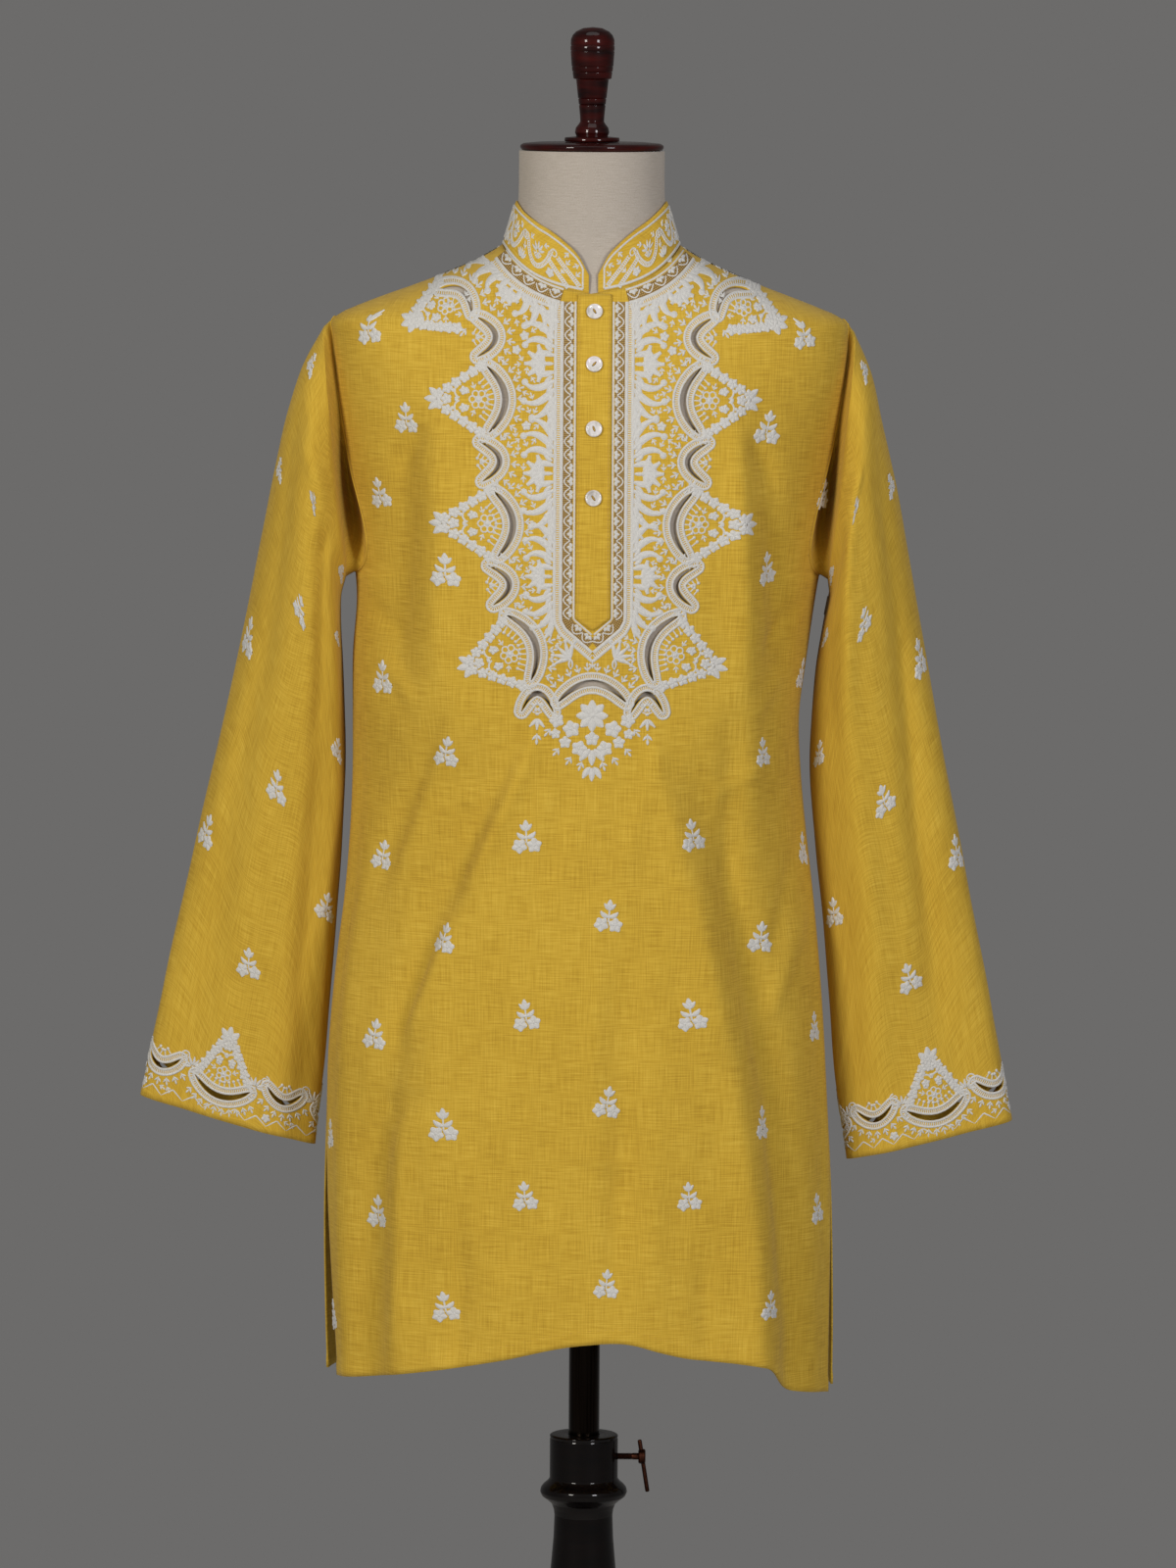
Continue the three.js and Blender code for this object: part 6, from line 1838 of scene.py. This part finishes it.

# %% [markdown]
# A shell button is a small dished disc with a raised rim and a boat-shaped sink. The two holes are not
# made: a dark boat-shaped patch of painted shade lies in the sink in their place. Yellow thread ties it
# through.

# %% Buttons
BUTTON_HEIGHTS = (1488, 1446, 1394, 1338)
BUTTON_SPINS = (0.5, -0.7, 0.35, 0.6)
DISC = (
    (TINY, 0), (6.0, 0), (6.75, 0.7), (6.75, 1.6), (6.4, 2.15), (5.7, 2.35), (5.0, 2.0), (4.5, 1.75),
    (TINY, 1.7),
)
for k, z in enumerate(BUTTON_HEIGHTS):
    disc = turned(f"shell_button_{k + 1}", rounded(DISC, 0.3), [shell_button], 48)
    # Painted shade: a dark flat patch in the sink stands for the two holes and the shade in them
    sink = turned("sink", [(TINY, 1.74), (2.6, 1.74), (2.9, 1.6)], [painted_hole_shade], 24)
    sink.data.transform(Matrix.Diagonal((0.36, 1.0, 1.0, 1.0)))
    tie = turned("tie", [(TINY, -2.0), (0.5, -1.9), (0.62, 0), (0.5, 1.9), (TINY, 2.0)], [yellow_thread], 12)
    tie.data.transform(Matrix.Translation((0, 0, 0.0018)) @ Matrix.Rotation(math.pi / 2, 4, "X"))
    x_here, z_here = np.array([float(CENTRE_X)]), np.array([float(z)])
    seat = over_front(x_here, z_here, np.array([2 * SEAM_GAP + CLOTH]))[0] * MM
    facing = normals(unfolded, front_angle(x_here, z_here), z_here, ANGLE_STEP, 2)[0]
    lie = Vector((0, 0, 1)).rotation_difference(Vector(facing)).to_matrix().to_4x4()
    spin = Matrix.Rotation(BUTTON_SPINS[k], 4, "Z")
    for thing in (disc, sink, tie):
        thing.data.transform(Matrix.Translation(Vector(seat)) @ lie @ spin)
        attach(thing, "form")
    sink.name, tie.name = f"button_sink_{k + 1}", f"button_tie_{k + 1}"
    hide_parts(f"button_{k + 1}")
print("buttons at", BUTTON_HEIGHTS)

# %% [markdown]
# The form is a smooth torso with a neck. Only its neck shows, and glimpses of it through the cutwork and
# from below, but it is whole. Rings of points at set heights are joined into one skin, closed at both ends.

# %% Dress form
FORM = (  # z, half width, front, back
    (815, 150, 92, 92), (822, 164, 102, 106), (850, 173, 110, 116), (910, 176, 114, 120), (980, 168, 110, 112),
    (1060, 156, 103, 100), (1130, 156, 104, 98), (1210, 166, 110, 103), (1290, 178, 120, 110),
    (1360, 186, 121, 113), (1410, 189, 112, 110),
)
# z and the gap left under the cloth
SHOULDERS = ((1436, 3), (1460, 1.5), (1480, 1.4), (1494, 0.5), (1510, 0.5), (1527, 1), (1541, 2))
# The neck has the columns of the body
NECK = ((1552, 64.5, 57.5, 60.5), (1577, 61, 57, 59), (1619, 60.5, 58, 59))
SHOULDER_SHRINK = 16
form_sides = table(FORM, ("side", "front", "back"))
neck_sides = table(NECK, ("side", "front", "back"))
shoulder_clear = column(*zip(*SHOULDERS))


def oval(sides, z, angle, power):
    """One ring of the body or the neck."""
    s, c = np.sin(angle), np.cos(angle)
    depth = np.where(c > 0, sides["front"](z), sides["back"](z))
    x = sides["side"](z) * signed_power(s, power)
    return np.stack([x, -depth * signed_power(c, power), z + 0 * s], -1)


def shoulder_ring(z, angle):
    """One ring of the shoulders, a little inside the cloth that lies on them."""
    clear = CLOTH + float(shoulder_clear(z))
    p = unfolded(angle, z) - normals(unfolded, angle, z, ANGLE_STEP, 2) * clear
    low = float(smooth((SHOULDER_TIP_Z + 14 - z) / 30))
    p[..., 0] -= np.sign(p[..., 0]) * SHOULDER_SHRINK * np.abs(np.sin(angle)) ** 6 * low
    p[..., 1] -= np.sign(p[..., 1]) * float(smooth((SHOULDER_TIP_Z - z) / 60)) * 5 * np.abs(np.cos(angle))
    return p


ring_angles = np.linspace(0, 2 * math.pi, 120, endpoint=False)
heights = np.concatenate([np.linspace(815, 850, 9), np.linspace(860, 1410, 40)])
rings = [oval(form_sides, z, ring_angles, 0.93) for z in heights]
shoulder_heights = np.concatenate([[1436, 1460], np.arange(1480, 1541, 5), [1541]])
rings += [shoulder_ring(z, ring_angles) for z in shoulder_heights]
rings += [oval(neck_sides, z, ring_angles, 1) for z in np.linspace(1552, 1619, 16)]
for first in (True, False):
    edge = rings[0] if first else rings[-1]
    middle = edge.mean(0)
    cap_rings = [middle + (edge - middle) * f for f in (0.66, 0.33, 0.002)]
    rings = cap_rings[::-1] + rings if first else rings + cap_rings
grid = np.stack(rings)
pressed = over_body(ring_angles, np.clip(grid[:, :1, 2], 1120, 1470), -CLOTH - 2.6)
level = grid[:, :1, 2]
share = smooth((level - 1100) / 90) * smooth((1472 - level) / 20) * smooth((np.cos(ring_angles) - 0.55) / 0.3)
grid[..., :2] += (pressed - grid)[..., :2] * share[..., None]
u = path_lengths(np.concatenate([grid, grid[:, :1]], 1), 1)[:, :-1]
v = np.broadcast_to(grid[..., 2], u.shape)
form_points = grid.reshape(-1, 3)
form_faces = grid_faces(grid.shape[0], grid.shape[1], 0, True)
if volume(form_points, form_faces) < 0:
    form_faces = form_faces[:, ::-1]
form_uv = np.stack([u, v], -1).reshape(-1, 2) * MM
form = make_object("dress_form_body", form_points, form_faces, form_uv, [cover])
form.data.set_sharp_from_angle(angle=math.radians(50))
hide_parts("dress_form")
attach(form, "form")
print("form points:", len(form_points))

# %% [markdown]
# Every cloth piece rides on the form's body and stands for its solid. The stitched pieces go with the
# cloth that carries them.

for thing, nodes in (
    (front, ["front_panel"]),
    (back, ["back_panel"]),
    (sleeves["left"], ["sleeve_left_front", "sleeve_left_back"]),
    (sleeves["right"], ["sleeve_right_front", "sleeve_right_back"]),
    (collar, ["collar"]),
    (placket, ["placket"]),
):
    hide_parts(*nodes)
stitched = [yoke_stitching, border_ground, front_sprigs, back_sprigs, collar_stitching, topstitching]
stitched += [*sleeve_sprigs.values(), *cuff_stitching.values(), *armhole_seams.values()]
for thing in [front, back, collar, placket, *sleeves.values(), *stitched]:
    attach(thing, "form")
print("pieces of cloth and stitching:", 6 + len(stitched))

# %% [markdown]
# A plain pale floor, a grey surround and soft lights. The glossy finial mirrors two soft boxes, one on each
# side of the camera and a little above it, so the scene has the same two, with a weak third one overhead.

# %% Floor, surround and lights
FLOOR_RADIUS = 2.0
turns = np.linspace(0, 2 * math.pi, 97)[:-1]
disc = np.stack([np.cos(turns) * FLOOR_RADIUS / MM, np.sin(turns) * FLOOR_RADIUS / MM, np.full(96, -0.5)], -1)
floor_material, _, _ = new_material("pale_floor", Base_Color=linear("#b9b7b4"), Roughness=0.9)
floor = make_object("floor", disc, [list(range(96))], None, [floor_material])

world = bpy.data.worlds.new("surround")
world.use_nodes = True
world.node_tree.nodes["Background"].inputs["Color"].default_value = linear("#6c6b6a")
world.node_tree.nodes["Background"].inputs["Strength"].default_value = 1.0
bpy.context.scene.world = world


def soft_light(name, place, aim, size, watts, colour="#ffffff"):
    """A rectangular lamp that is aimed at a place and isn't seen itself."""
    light = bpy.data.lights.new(name, "AREA")
    light.shape = "RECTANGLE"
    light.size, light.size_y = size
    light.energy = watts
    light.color = linear(colour)[:3]
    thing = bpy.data.objects.new(name, light)
    thing.location = place
    thing.rotation_euler = (Vector(aim) - Vector(place)).to_track_quat("-Z", "Y").to_euler()
    thing.visible_camera = False
    bpy.context.scene.collection.objects.link(thing)


soft_light("key", (-2.5, -3.5, 2.5), (0, 0, 1.1), (0.9, 1.3), 104, "#fffaf3")
soft_light("second", (2.2, -3.7, 2.4), (0, 0, 1.1), (0.9, 1.3), 84, "#fbfaff")
soft_light("top", (0, -0.4, 3.7), (0, 0, 1.2), (1.6, 1.0), 8)
bpy.context.scene.view_settings.view_transform = "Standard"
print("lights:", len(bpy.data.lights))
